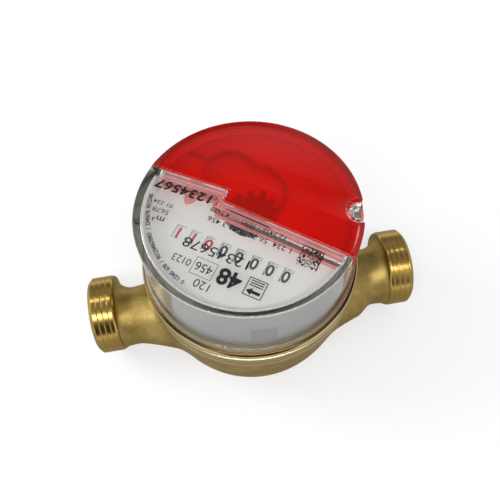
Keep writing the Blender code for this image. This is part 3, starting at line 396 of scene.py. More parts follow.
# Rim and inside: turned on a lathe after casting. Outside, two bands with a groove over each
# and a rounded lip. Inside, the seat of the hood, the ledge of the plate, the chamber and the
# boss of the pivot.
SHARE, RUN_END, LONG_RUN = 0.4, 0.3, 1.0


def eased(profile, cut):
    """Profile with each corner rounded by a parabola that starts cut mm before it, or at a
    share of a shorter side. Long runs get a point near each end, which keeps them flat."""
    pts = [np.array(p, float) for p in profile]
    out = [pts[0]]
    for a, p, b in zip(pts, pts[1:], pts[2:]):
        la, lb = np.linalg.norm(a - p), np.linalg.norm(b - p)
        c = min(cut, SHARE * la, SHARE * lb)
        s, e = p + (a - p) * c / la, p + (b - p) * c / lb
        out += [(1 - t)**2 * s + 2 * t * (1 - t) * p + t**2 * e for t in (0.0, 0.33, 0.67, 1.0)]
    out.append(pts[-1])
    full = [out[0]]
    for a, b in zip(out, out[1:]):
        length = np.linalg.norm(b - a)
        if length > LONG_RUN:
            full += [a + (b - a) * s for s in (RUN_END / length, 1.0 - RUN_END / length)]
        full.append(b)
    return np.array(full)


def lathe(profile, columns):
    """Turn a (radius, height) profile about Z. On the outside it runs upwards."""
    a = np.linspace(0.0, TAU, columns, endpoint=False)[:, None]
    r, z = profile[:, 0], profile[:, 1]
    points = np.stack([np.cos(a) * r, np.sin(a) * r, np.broadcast_to(z, (columns, len(z)))], -1)
    return points.reshape(-1, 3), grid_faces(columns, len(z))


RIM = [(33.2, 16.6), (33.75, 16.9), (33.95, 17.2), (34.0, 18.5), (33.85, 18.75), (33.1, 18.95),
       (33.1, 19.6), (33.9, 19.8), (34.1, 20.1), (34.18, 22.9), (34.05, 23.2), (33.4, 23.4),
       (33.4, 23.95), (33.95, 24.1), (34.15, 24.4), (34.1, 24.95), (33.85, 25.4), (33.45, 25.75),
       (33.0, 25.95), (32.36, 25.8), (32.35, 20.7), (28.9, 20.7), (28.9, 11.0), (23.5, 11.0),
       (23.5, -11.4), (3.0, -11.4), (3.0, -8.8), (1.1, -8.8), (1.1, -10.6), (0.0, -10.6)]
rim = mesh_object("machined_rim", *lathe(eased(RIM, 0.18), 256))
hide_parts("brass_body")
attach(rim, "meter_body")

# Turned brass: a brighter face with the fine rings that the tool leaves about the axis it
# was turned on, drawn about half a millimetre apart so that they show. Faces nearer that
# axis than the reach (mm), in the grooves and inside, are painted brown: a painted shade.
RINGS, ALONG, GROOVE_SHADE_EDGE = 2200.0, 20.0, 0.25


def turned(name, base, axis, reach):
    """Brass turned about the pipe's axis (0) or about Z (2)."""
    mat, tree = metal(name, base, 0.22)
    place = add(tree, "TexCoord").outputs["Object"]
    stretch = [RINGS if k == axis else ALONG for k in range(3)]
    stretched = add(tree, "Mapping", Vector=place, Scale=stretch)
    rings = add(tree, "TexNoise", Vector=stretched.outputs[0], Scale=1.0, Detail=2.0)
    tool = add(tree, "Bump", Strength=0.15, Distance=0.05 * MM, Height=rings.outputs["Fac"])
    above = add(tree, "VectorMath", {"operation": "SUBTRACT"}, i0=place, i1=(0.0, 0.0, LIFT * MM))
    across = add(tree, "VectorMath", {"operation": "MULTIPLY"}, i0=above.outputs[0],
                 i1=[0.0 if k == axis else 1.0 for k in range(3)])
    radius = add(tree, "VectorMath", {"operation": "LENGTH"}, i0=across.outputs[0])
    # Painted shade: faces nearer the axis than the reach turn dark brown.
    unshaded_share = add(tree, "MapRange", Value=radius.outputs["Value"], i1=(reach - GROOVE_SHADE_EDGE) * MM,
                i2=reach * MM, i3=0.0, i4=1.0)
    groove_shaded = add(tree, "ValToRGB", stops=[(0.0, "#5A4426"), (1.0, base)], Fac=unshaded_share.outputs[0])
    surface(tree, Base_Color=groove_shaded.outputs["Color"], Normal=tool.outputs[0])
    return mat


# A reach too small for any painted groove shade.
NO_GROOVE_SHADE = 1.0
rim.data.materials.append(turned("turned_rim_brass", "#BFAF84", 2, 33.75))


# Threaded ends: pipe thread of 14 turns to the inch, cut on the collars, with a chamfer at
# the mouth. The bore behind each mouth narrows into its port, an upright slot to one side.
PITCH, CREST, ROOT = 1.814, 13.2, 13.08
FLANK, THREAD_START, RUN_OUT = 0.24, 47.0, 0.8
HALF_LENGTH, COLLAR_X = 55.0, NECK_END - 0.05
CHAMFER_R, BACK_R, BACK_ROUND = 12.1, 12.35, 0.85
THREAD_ROWS, THREAD_COLS = 190, 160
BORE_R = 8.0
MOUTH = [(HALF_LENGTH, 11.9), (HALF_LENGTH, 8.7), (54.9, 8.5), (54.4, BORE_R), (54.0, BORE_R),
         (46.0, BORE_R), (38.0, BORE_R)]
PORT_X, PORT_LONG, PORT_SIDE, PORT_STEPS = 38.04, 23.47, -15.35, 8
SLOT_NARROW, SLOT_LOW, SLOT_SQUARE = 3.4, 1.5, 0.4
thread_brass = turned("turned_thread_brass", "#B49652", 0, NO_GROOVE_SHADE)
for side, word in ((-1.0, "inlet"), (1.0, "outlet")):
    rows = np.linspace(COLLAR_X, HALF_LENGTH, THREAD_ROWS)
    lap = np.linspace(0.0, TAU, THREAD_COLS, endpoint=False)[:, None]
    phase = 0.5 + (rows - 45.6) * side / PITCH - lap / TAU
    from_root = np.abs(2.0 * (phase - np.floor(phase)) - 1.0)
    depth = 1.0 - smooth_step(np.clip(from_root / FLANK, 0.0, 1.0))
    depth = depth * np.clip((rows - THREAD_START) / RUN_OUT, 0.0, 1.0)
    r = CREST - (CREST - ROOT) * depth
    r = np.minimum(r, CHAMFER_R + HALF_LENGTH - rows)
    r = np.minimum(r, BACK_R + BACK_ROUND * np.sqrt(np.clip(rows - COLLAR_X, 0.0, 1.0)))
    outer = np.stack([np.broadcast_to(rows * side, r.shape), np.cos(lap) * r, np.sin(lap) * r], -1)
    ct, st = np.cos(lap), np.sin(lap)
    mouth = [np.concatenate([np.full_like(lap, x * side), ct * rr, st * rr], 1) for x, rr in MOUTH]
    for k in range(1, PORT_STEPS + 1):
        u = k / PORT_STEPS
        s = smooth_step(u)
        q = 1.0 - SLOT_SQUARE * s
        mouth.append(np.concatenate([
            np.full_like(lap, (PORT_X - PORT_LONG * u) * side),
            PORT_SIDE * s + (BORE_R - SLOT_NARROW * s) * np.sign(ct) * np.abs(ct)**q,
            (BORE_R - SLOT_LOW * s) * np.sign(st) * np.abs(st)**q], 1))
    skin = np.concatenate([outer, np.stack(mouth, 1)], 1)
    thread = mesh_object("thread_" + word, skin, grid_faces(THREAD_COLS, skin.shape[1], flip=side < 0))
    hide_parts("brass_body")
    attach(thread, "meter_body")
    thread.data.materials.append(thread_brass)


# Register: everything above the rim turns together by hand. Its hood is one clear moulding
# of polycarbonate: a drum, a head under half of the top, and a lower floor that carries the
# red cover. A stepped edge parts the two halves.
TURN = math.radians(144.4)
HOOD_R, HOOD_WALL, HOOD_FOOT, HOOD_TOP = 32.0, 2.0, 21.0, 50.88
RECESS, RECESS_UNDER, HEAD_UNDER = 45.7, 45.1, 48.9
STEP_X = 7.9
EDGE_RIGHT, EDGE_LEFT = (-4.5, 0.07), (0.45, -0.036)


def on_register(points):
    """Points of the register's own frame turned about Z to where the register stands."""
    points = np.asarray(points, float)
    x, y = points[..., 0], points[..., 1]
    c, s = math.cos(TURN), math.sin(TURN)
    return np.stack([c * x - s * y, s * x + c * y, points[..., 2]], -1)


def edge_y(x, shift):
    """Y of the stepped edge at x: a straight run (start and slope) on each side of the step."""
    runs = [start + slope * x for start, slope in (EDGE_RIGHT, EDGE_LEFT)]
    return np.where(x > STEP_X + shift, *runs) + shift


def edge_end(r, sign, shift):
    """Where the edge meets the circle of radius r on the side sign of X, closed in on by turns."""
    x = sign * r
    for _ in range(30):
        x = sign * math.sqrt(r * r - float(edge_y(x, shift))**2)
    return np.array([x, float(edge_y(x, shift))])


def edge_path(r, shift):
    """The stepped edge across the disc from its +X end to its -X end, corners eased."""
    xs = STEP_X + shift
    low, high = float(edge_y(xs + 1e-6, shift)), float(edge_y(xs - 1e-6, shift))
    return eased([edge_end(r, 1.0, shift), (xs, low), (xs, high), edge_end(r, -1.0, shift)], 0.5)


def arc(r, a, b, count):
    """Points on the circle of radius r from angle a round to b, which is raised above a."""
    t = np.linspace(a, b + TAU if b < a else b, count)
    return np.stack([np.cos(t), np.sin(t)], -1) * r


def at_height(flat, z):
    """Flat points with a height of z."""
    return np.column_stack([flat, np.full(len(flat), float(z))])


ARC = 100


def arc_ends(r, shift):
    """Angles of the stepped edge's +X and -X ends on the circle of radius r."""
    right, left = (math.atan2(*edge_end(r, sign, shift)[::-1]) for sign in (1.0, -1.0))
    return right, left % TAU


def drum_skin(r, shift, low, middle, high):
    """One skin of the hood, from the height low up. Its top is at high on the edge's +Y side
    and at middle on the other."""
    right, left = arc_ends(r, shift)
    front, back = arc(r, right, left, ARC), arc(r, left, right, ARC)
    run = edge_path(r, shift)[1:-1]
    parts = [at_height(np.concatenate([front, back[1:-1]]), low), at_height(front, high),
             at_height(back, middle), at_height(run, middle), at_height(run, high)]
    first = np.concatenate([[0], np.cumsum([len(p) for p in parts])])
    foot = np.append(np.arange(first[1]), 0)
    top, floor, run_low, run_high = (list(range(first[k], first[k + 1])) for k in (1, 2, 3, 4))
    n = ARC - 1
    faces = [[foot[i], foot[i + 1], top[i + 1], top[i]] for i in range(1, n - 1)]
    faces += [[foot[0], foot[1], top[1], top[0], floor[-1]],
              [foot[n - 1], foot[n], floor[0], top[n], top[n - 1]]]
    faces += [[foot[n + i], foot[n + 1 + i], floor[i + 1], floor[i]] for i in range(n)]
    faces += [top + run_high[::-1], floor + run_low]
    low_run = [floor[-1]] + run_low + [floor[0]]
    high_run = [top[0]] + run_high + [top[-1]]
    faces += [[low_run[i + 1], low_run[i], high_run[i], high_run[i + 1]] for i in range(len(low_run) - 1)]
    return np.concatenate(parts), faces, foot


def rounded(obj, width):
    """Round every edge that bends by more than 35 degrees, as a mould leaves it."""
    bevel = obj.modifiers.new("mould_radius", 'BEVEL')
    bevel.width = width * MM
    bevel.segments = 3
    bevel.limit_method = 'ANGLE'
    bevel.angle_limit = math.radians(35.0)
    bevel.use_clamp_overlap = False
    bevel.harden_normals = True
    split = obj.modifiers.new("split_flats", 'TRIANGULATE')
    split.min_vertices = 5
    split.ngon_method = 'BEAUTY'
    split.keep_custom_normals = True


outside, outside_faces, foot_out = drum_skin(HOOD_R, 0.0, HOOD_FOOT, RECESS, HOOD_TOP)
inside, inside_faces, foot_in = drum_skin(HOOD_R - HOOD_WALL, HOOD_WALL, HOOD_FOOT, RECESS_UNDER, HEAD_UNDER)
foot_in = foot_in + len(outside)
hood_faces = outside_faces + [[i + len(outside) for i in f[::-1]] for f in inside_faces]
hood_faces += [[foot_out[i + 1], foot_out[i], foot_in[i], foot_in[i + 1]] for i in range(len(foot_out) - 1)]
hood = mesh_object("hood_moulding", on_register(np.concatenate([outside, inside])), hood_faces)
rounded(hood, 0.35)
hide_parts("clear_hood")
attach(hood, "register")


# Clear polycarbonate, injection moulded: glass-like, with the faint softness of a polished
# mould. Lamp light passes straight through it, so what lies under it is lit, and a ray that
# has gone through many skins goes on without bending.
LAST_BEND = 3.5


def clear_plastic(name, tint, passing, rough, clear):
    """Refracting plastic of a tint. Shadow and scattered rays go through and take the passing colour."""
    mat, tree = material(name)
    surface(tree, Base_Color=linear(tint), Roughness=rough, IOR=1.585, Transmission_Weight=clear)
    ray = add(tree, "LightPath")
    soft = either(tree, ray.outputs["Is Shadow Ray"], ray.outputs["Is Diffuse Ray"])
    spent = add(tree, "Math", {"operation": "GREATER_THAN"}, i0=ray.outputs["Ray Depth"], i1=LAST_BEND)
    loose = either(tree, soft, spent.outputs[0])
    open_way = add(tree, "BsdfTransparent", Color=linear(passing))
    mix = add(tree, "MixShader", Fac=loose, i1=tree.nodes["Principled BSDF"].outputs[0],
              i2=open_way.outputs[0])
    tree.links.new(mix.outputs[0], tree.nodes["Material Output"].inputs["Surface"])
    return mat


clear_pc = clear_plastic("clear_polycarbonate", "#F4F5F5", "#F4F5F5", 0.02, 0.988)
hood.data.materials.append(clear_pc)


# Red cover: a shallow lid of red see-through polycarbonate that clips onto the lower half
# of the hood. A finger notch at its rim leaves the hood's clear clip tab free.
def flat_cap(outline, start, flip=False):
    """Triangles that fill a flat outline whose points are counted from start."""
    fill = tessellate_polygon([[Vector(p) for p in outline]])
    faces = []
    for a, b, c in fill:
        (ax, ay), (bx, by), (cx, cy) = outline[a][:2], outline[b][:2], outline[c][:2]
        up = (bx - ax) * (cy - ay) - (by - ay) * (cx - ax) > 0.0
        faces.append([start + i for i in ((a, b, c) if up != flip else (c, b, a))])
    return faces


COVER_R, COVER_FOOT, COVER_TOP, COVER_GAP = 32.3, 46.0, 50.88, 0.3
FOOT_ROUND, TOP_ROUND, TOP_ROUND_TALL, EDGE_SHARE = 0.3, 2.2, 0.5, 0.2
NOTCH_TURN, NOTCH_AT, NOTCH_R = math.radians(205.3), 31.0, 3.9
NOTCH_MIDDLE = NOTCH_AT * np.array([math.cos(NOTCH_TURN), math.sin(NOTCH_TURN)])


def cover_outline(r, shift, notch):
    """Outline of the part of the disc behind the edge, with a round notch bitten out of its arc."""
    right, left = arc_ends(r, shift)
    half = math.acos((r * r + NOTCH_AT**2 - notch**2) / (2.0 * r * NOTCH_AT))
    lean = math.atan2(r * math.sin(half), r * math.cos(half) - NOTCH_AT)
    t = np.linspace(-lean, lean - TAU, 27)[1:-1] + NOTCH_TURN
    bite = np.stack([np.cos(t), np.sin(t)], -1) * notch + NOTCH_MIDDLE
    return np.concatenate([arc(r, left, NOTCH_TURN - half, 16), bite,
                           arc(r, NOTCH_TURN + half, right + TAU, 110), edge_path(r, shift)[1:-1]])


quarter = 0.5 * math.pi
levels = [(COVER_FOOT, FOOT_ROUND)]
levels += [(COVER_FOOT + FOOT_ROUND * (1.0 - math.cos(t)), FOOT_ROUND * (1.0 - math.sin(t)))
           for t in np.linspace(0.3, quarter, 4)]
levels += [(COVER_TOP - TOP_ROUND_TALL * (1.0 - math.sin(t)), TOP_ROUND * (1.0 - math.cos(t)))
           for t in np.linspace(0.0, quarter, 13)]
rings = [at_height(cover_outline(COVER_R - d, -COVER_GAP - EDGE_SHARE * d, NOTCH_R + EDGE_SHARE * d), z)
         for z, d in levels]
n = len(rings[0])
k = np.arange(n)
j = (k + 1) % n
sides = [row for m in range(len(rings) - 1) for row in np.stack([k, j, j + n, k + n], 1) + m * n]
cover = mesh_object("red_lid", on_register(np.concatenate(rings)),
                    sides + flat_cap(rings[-1], (len(rings) - 1) * n) + flat_cap(rings[0], 0, True))
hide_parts("red_cover")
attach(cover, "register")

# Red polycarbonate, tinted in the mass: a clear saturated red that darkens where the light
# has to cross its rim.
red_pc = clear_plastic("red_polycarbonate", "#FF240E", "#FF3420", 0.12, 0.80)
tree = red_pc.node_tree
spot = add(tree, "VectorMath", {"operation": "MULTIPLY"}, i0=add(tree, "TexCoord").outputs["Object"],
           i1=(1.0, 1.0, 0.0))
from_axis = add(tree, "VectorMath", {"operation": "LENGTH"}, i0=spot.outputs[0])
share = add(tree, "Math", {"operation": "DIVIDE"}, i0=from_axis.outputs["Value"], i1=HOOD_R * MM)
tint = add(tree, "ValToRGB", stops=[(0.0, "#EE2A14"), (0.5, "#E2220F"), (0.80, "#D81C0E"),
                                    (0.88, "#CC1A0B"), (0.95, "#BC1609"), (1.0, "#AC1006")],
           Fac=share.outputs[0])
surface(tree, Base_Color=tint.outputs["Color"])
cover.data.materials.append(red_pc)

# Foot of the hood: a wider ring of the same clear moulding, frosted, that rests on the lip of
# the rim. Its straw colour, which turns copper on its right side, is a painted reflection of
# the brass.
FOOT_RING = [(32.03, 26.0), (32.9, 26.0), (33.05, 26.1), (33.05, 28.0), (32.98, 28.35), (32.8, 28.6),
             (32.03, 28.9), (32.03, 26.0)]
foot = mesh_object("hood_foot", *lathe(np.array(FOOT_RING), 256))
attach(foot, "register")
frosted = clear_plastic("frosted_polycarbonate", "#CCC09E", "#F0F0EA", 0.10, 0.78)
tree = frosted.node_tree
place = add(tree, "SeparateXYZ", Vector=add(tree, "TexCoord").outputs["Object"])
across = add(tree, "MapRange", Value=place.outputs["X"], i1=-34.0 * MM, i2=34.0 * MM)
# Painted reflection of the brass: straw, turning copper towards +X.
tint = add(tree, "ValToRGB", stops=[(0.0, "#CCC09E"), (0.62, "#CCC09E"), (0.95, "#CE966E")],
           Fac=across.outputs[0])
surface(tree, Base_Color=tint.outputs["Color"])
foot.data.materials.append(frosted)


# Liner: a flat white ring of moulded ABS that shows pale through the cover's edge, and is
# open at the notch.
def moulded(name, base, rough, grain=0.25):
    """Injection-moulded plastic: an even colour and a fine spark-eroded mould grain."""
    mat, tree = material(name)
    spark = add(tree, "TexNoise", Vector=add(tree, "TexCoord").outputs["Object"], Scale=2600.0, Detail=2.0)
    pits = add(tree, "Bump", Strength=grain, Distance=0.04 * MM, Height=spark.outputs["Fac"])
    surface(tree, Base_Color=linear(base), Roughness=rough, IOR=1.49, Normal=pits.outputs[0])
    return mat


LINER_R, LINER_IN, LINER_Z, LINER_GAP = 31.6, 29.2, 45.85, 0.13
white_abs = moulded("white_moulded_abs", "#EAEAE5", 0.5)
liner_right, liner_left = arc_ends(LINER_R, -1.0)
liner_faces, liner_points = [], []
for a0, a1 in ((liner_left, NOTCH_TURN - LINER_GAP), (NOTCH_TURN + LINER_GAP, liner_right + TAU)):
    outline = at_height(np.concatenate([arc(LINER_R, a0, a1, 60), arc(LINER_IN, a0, a1, 60)[::-1]]), LINER_Z)
    liner_faces += flat_cap(outline, sum(map(len, liner_points)))
    liner_points.append(outline)
liner = mesh_object("cover_liner", on_register(np.concatenate(liner_points)), liner_faces, smooth=False)
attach(liner, "register")
liner.data.materials.append(white_abs)

# Clip tab in the notch: a short round stud of the hood's own moulding, cut off at the hood's
# wall.
TAB_R, TAB_TOP, TAB_COLS = 2.9, 50.6, 48
tab_turn = np.linspace(0.0, TAU, TAB_COLS, endpoint=False)
tab_flat = NOTCH_MIDDLE + np.stack([np.cos(tab_turn), np.sin(tab_turn)], -1) * TAB_R
tab_flat *= np.minimum(1.0, (HOOD_R - 0.02) / np.linalg.norm(tab_flat, axis=1))[:, None]
tab_skin = np.concatenate([at_height(tab_flat, RECESS + 0.02), at_height(tab_flat, TAB_TOP)])
tab_faces = [[i, (i + 1) % TAB_COLS, (i + 1) % TAB_COLS + TAB_COLS, i + TAB_COLS] for i in range(TAB_COLS)]
tab_faces += [list(range(TAB_COLS - 1, -1, -1)), list(range(TAB_COLS, 2 * TAB_COLS))]
tab = mesh_object("clip_tab", on_register(tab_skin), tab_faces)
rounded(tab, 0.3)
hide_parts("clear_hood")
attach(tab, "register")
tab.data.materials.append(clear_pc)


# Dial cap: a white moulding under the clear head, with eight windows, a round window for
# the star and two round cut-outs behind it. Its shape is the solid's, so it only takes its
# finish here, and so do the other inner pieces.
def dress(node, mat):
    """Give a kept solid its finish."""
    mesh = nodes[node].data
    mesh.materials.clear()
    mesh.materials.append(mat)


grey_abs = moulded("grey_moulded_abs", "#A19E9A", 0.45)
black_pom = moulded("black_moulded_acetal", "#1B1B1D", 0.42)
natural_pom = moulded("natural_acetal", "#D9D6CC", 0.4)
dress("dial_cap", white_abs)
dress("counter_frame", white_abs)
dress("register_cup", grey_abs)
for node in ("separating_plate", "impeller", "flow_star"):
    dress(node, black_pom)
for node in ("magnet_rotor", "wheel_one", "wheel_two", "idler_wheel", "worm_arbor", "inlet_strainer"):
    dress(node, natural_pom)
for k in range(1, 8):
    dress("transfer_pinion_%d" % k, black_pom)

# Painted shadow round the two round cut-outs: a dark band under the hood's floor that stands
# in for the shade at their edges. Only its blurred outline shows through the red, so it is a
# flat band that fades towards both edges.
SHADE_PATH = [(26.35, -13.2), (21.8, -13.4), (18.9, -12.9), (16.8, -16.7), (13.15, -18.7), (9.5, -18.5),
        (6.6, -16.7), (4.4, -17.4), (1.6, -17.8), (-2.0, -16.4), (-5.15, -13.7), (-6.9, -9.2), (-6.7, -5.1)]
SHADE_PATH_Z, SHADE_PATH_HALF, SHADE_PATH_N = 44.8, 1.5, 97
knots = np.arange(float(len(SHADE_PATH)))
fine = np.linspace(0.0, knots[-1], SHADE_PATH_N)
line = np.stack([through(fine, knots, [c[i] for c in SHADE_PATH]) for i in (0, 1)], -1)
side = np.gradient(line, axis=0)[:, ::-1] * (-1.0, 1.0)
side *= SHADE_PATH_HALF / np.linalg.norm(side, axis=1)[:, None]
band = at_height(np.concatenate([line - side, line, line + side]), SHADE_PATH_Z)
shade_band_faces = [[i + m, i + m + 1, i + m + SHADE_PATH_N + 1, i + m + SHADE_PATH_N]
              for m in (0, SHADE_PATH_N) for i in range(SHADE_PATH_N - 1)]
shade_band = mesh_object("painted_cut_out_shadow", on_register(band), shade_band_faces, smooth=False)
soft = shade_band.data.attributes.new("soft", 'FLOAT', 'POINT')
soft.data.foreach_set("value", np.repeat([0.0, 1.0, 0.0], SHADE_PATH_N))
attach(shade_band, "register")
# Painted shadow: a dark colour that fades away towards both edges.
shade_band_mat = moulded("painted_shadow_band", "#3A2626", 0.6, 0.0)
tree = shade_band_mat.node_tree
edge = add(tree, "Attribute", {"attribute_name": "soft"})
thin = add(tree, "Math", {"operation": "MULTIPLY"}, i0=edge.outputs["Fac"], i1=0.6)
surface(tree, Alpha=thin.outputs[0])
shade_band.data.materials.append(shade_band_mat)

# Sleeve: grey ABS with a white inside, between the dial cap and the hood's wall. It hides the
# skirt of the cap from the side, and stands lower behind the stepped edge.
SLEEVE_IN, SLEEVE_R, SLEEVE_OUT, SLEEVE_FOOT, SLEEVE_COLS = 29.3, 29.5, 29.6, 27.6, 192
SLEEVE_HIGH, SLEEVE_LOW = 48.4, 44.8
sleeve_turn = np.linspace(0.0, TAU, SLEEVE_COLS, endpoint=False)
before = SLEEVE_R * np.sin(sleeve_turn) > edge_y(SLEEVE_R * np.cos(sleeve_turn), HOOD_WALL) + 0.5
tall = np.where(before, SLEEVE_HIGH, SLEEVE_LOW)
foot_line = np.full(SLEEVE_COLS, SLEEVE_FOOT)
sleeve_skin = np.stack([np.stack([r * np.cos(sleeve_turn), r * np.sin(sleeve_turn), z], -1) for r, z in (
    (SLEEVE_IN, foot_line), (SLEEVE_R, foot_line), (SLEEVE_OUT, foot_line + 0.1), (SLEEVE_OUT, tall - 0.1),
    (SLEEVE_R, tall), (SLEEVE_IN, tall), (SLEEVE_IN, foot_line))], 1)
sleeve = mesh_object("cap_sleeve", on_register(sleeve_skin), grid_faces(SLEEVE_COLS, 7))
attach(sleeve, "register")
sleeve.data.materials.append(grey_abs)
sleeve.data.materials.append(white_abs)
sleeve.data.polygons.foreach_set("material_index", [0, 0, 0, 1, 1, 1] * SLEEVE_COLS)

# Flat pad moulded on the sleeve's front, a little darker than the wall round it.
PAD_R, PAD_LOW, PAD_HIGH, PAD_COLS = 29.66, 31.0, 39.5, 9
pad_turn = np.radians(np.linspace(-99.0, -85.0, PAD_COLS)) - TURN
pad_line = np.stack([np.cos(pad_turn), np.sin(pad_turn)], -1) * PAD_R
pad_skin = np.stack([at_height(pad_line, z) for z in (PAD_LOW, PAD_HIGH)], 1)
pad = mesh_object("sleeve_pad", on_register(pad_skin), grid_faces(PAD_COLS, 2, around=False))
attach(pad, "register")
pad.data.materials.append(moulded("dark_grey_moulded_abs", "#827F7A", 0.45))

# Painted red light over the dial along the stepped edge, in fine strips with one point that
# stands out: the red of the cover's skirt, which the clear step shows there.
RED_GLOW_R, RED_GLOW_Z = 29.0, 43.72
STRIPS = ((-0.6, 0.1), (0.2, 0.8), (0.9, 1.5), (1.6, 2.1))
outlines = [at_height(np.concatenate([edge_path(RED_GLOW_R, near), edge_path(RED_GLOW_R, far)[::-1]]), RED_GLOW_Z)
            for near, far in STRIPS]
outlines.append(at_height([(16.7, -1.4), (21.3, -1.2), (20.4, 1.1), (19.3, 2.1), (18.2, 1.4)], RED_GLOW_Z + 0.02))
red_glow_faces = []
for k, outline in enumerate(outlines):
    red_glow_faces += flat_cap(outline, sum(map(len, outlines[:k])))
red_glow = mesh_object("cover_glow", on_register(np.concatenate(outlines)), red_glow_faces, smooth=False)
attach(red_glow, "register")
# Painted red light: a pale red colour laid on the dial.
red_glow.data.materials.append(moulded("painted_red_light", "#E08C8A", 0.5, 0.0))

# Rings: the white flange that closes the gap between the dial and the hood's wall, the beige
# band at the cup's foot, whose beige is a painted reflection of the brass, and the flat fibre
# gasket that the hood turns on.
for name, low, high, r0, r1, body, mat in (
        ("dial_flange", 43.1, 43.5, 28.0, 29.25, "register", white_abs),
        # The cup band's beige is a painted reflection of the brass.
        ("cup_band", 22.4, 27.4, 29.2, 29.6, "register", moulded("brass_reflection_beige_abs", "#A49E88", 0.5)),
        ("hood_gasket", 20.72, 20.95, 29.2, 32.3, "meter_body", moulded("fibre_gasket", "#DCD4C8", 0.7))):
    ring = [(r0, low), (r1 - 0.1, low), (r1, low + 0.1), (r1, high - 0.1), (r1 - 0.1, high),
            (r0, high), (r0, low)]
    flat_ring = mesh_object(name, *lathe(np.array(ring), 192))
    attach(flat_ring, body)
    flat_ring.data.materials.append(mat)

# Steel wire arbors with fine drawing streaks, dull grey sintered ferrite magnets, the matt
# rubber ring and the turned brass clamp ring.
wire, tree = metal("stainless_steel_wire", "#B9BABC", 0.22)
streaks = add(tree, "TexNoise", Vector=add(tree, "TexCoord").outputs["Object"], Scale=900.0, Detail=2.0)
drawn = add(tree, "Bump", Strength=0.2, Distance=0.02 * MM, Height=streaks.outputs["Fac"])
surface(tree, Normal=drawn.outputs[0])
ferrite = moulded("sintered_ferrite", "#3A3B3E", 0.6, 0.5)
for node in ("pivot_pin", "roller_shaft", "transfer_shaft", "arbor_sun", "arbor_one", "arbor_two",
             "arbor_idler", "arbor_worm"):
    dress(node, wire)
dress("drive_magnet", ferrite)
dress("follower_magnet", ferrite)
dress("seal_ring", moulded("nitrile_rubber", "#141414", 0.7, 0.4))
dress("clamp_ring", turned("turned_brass", "#BFAF84", 2, NO_GROOVE_SHADE))


# Number rollers: eight white drums with printed figures. The first three count parts of
# the unit and are printed red. The other five are printed black, with short dashes beside
# each figure. Print is wrapped onto the drum, and counting up brings the next figure up.
ROLLER_X, ROLLER_Y, ROLLER_Z, ROLLER_PITCH = 16.7, 10.9, 36.25, 4.8
DRUM_R, INK_R, DRUM_COLS = 6.75, 6.765, 96
DRUM_PROFILE = ((-1.5, 5.6), (-1.5, 6.65), (-1.4, DRUM_R), (1.4, DRUM_R), (1.5, 6.65), (1.5, 5.6))
FIGURE_TALL, FIGURE_WIDE, FIGURE_X, RED_DRUMS = 3.5, 0.92, 0.2, 3
DASHES = ((-1.5, -1.95, 0.6, 0.26), (0.75, -1.95, 0.6, 0.26), (1.2, 1.25, 0.2, 0.65))
READING = (1, 1, 0, 0, 0, 0, 0, 0)
FONT_TALL, FONT_TOP = 0.69, 0.7


def figures(text, tall, offset=0.0, shear=0.0, step=1.0, slices=0):
    """Flat mesh of plain figures about the origin, tall mm high: the font's outline filled,
    made bolder by offset, slanted by shear, spaced by step and cut across at the slices."""
    curve = bpy.data.curves.new("figures", 'FONT')
    curve.body = text
    curve.align_x = 'CENTER'
    curve.offset = offset
    curve.shear = shear
    curve.space_character = step
    curve.resolution_u = 4
    obj = bpy.data.objects.new("figures", curve)
    bpy.context.scene.collection.objects.link(obj)
    bpy.context.view_layer.update()
    mesh = bpy.data.meshes.new_from_object(obj.evaluated_get(bpy.context.evaluated_depsgraph_get()))
    if slices:
        work = bmesh.new()
        work.from_mesh(mesh)
        for cut in np.linspace(0.0, FONT_TOP, slices):
            bmesh.ops.bisect_plane(work, geom=work.verts[:] + work.edges[:] + work.faces[:],
                                   plane_co=(0.0, cut, 0.0), plane_no=(0.0, 1.0, 0.0))
        work.to_mesh(mesh)
        work.free()
    points = np.zeros(len(mesh.vertices) * 3)
    mesh.vertices.foreach_get("co", points)
    points = points.reshape(-1, 3)
    faces = [list(p.vertices) for p in mesh.polygons]
    bpy.data.objects.remove(obj)
    bpy.data.curves.remove(curve)
    bpy.data.meshes.remove(mesh)
    points[:, 1] -= 0.5 * (points[:, 1].min() + points[:, 1].max())
    points[:, 0] -= 0.5 * (points[:, 0].min() + points[:, 0].max())
    return points[:, :2] * tall / FONT_TALL, faces


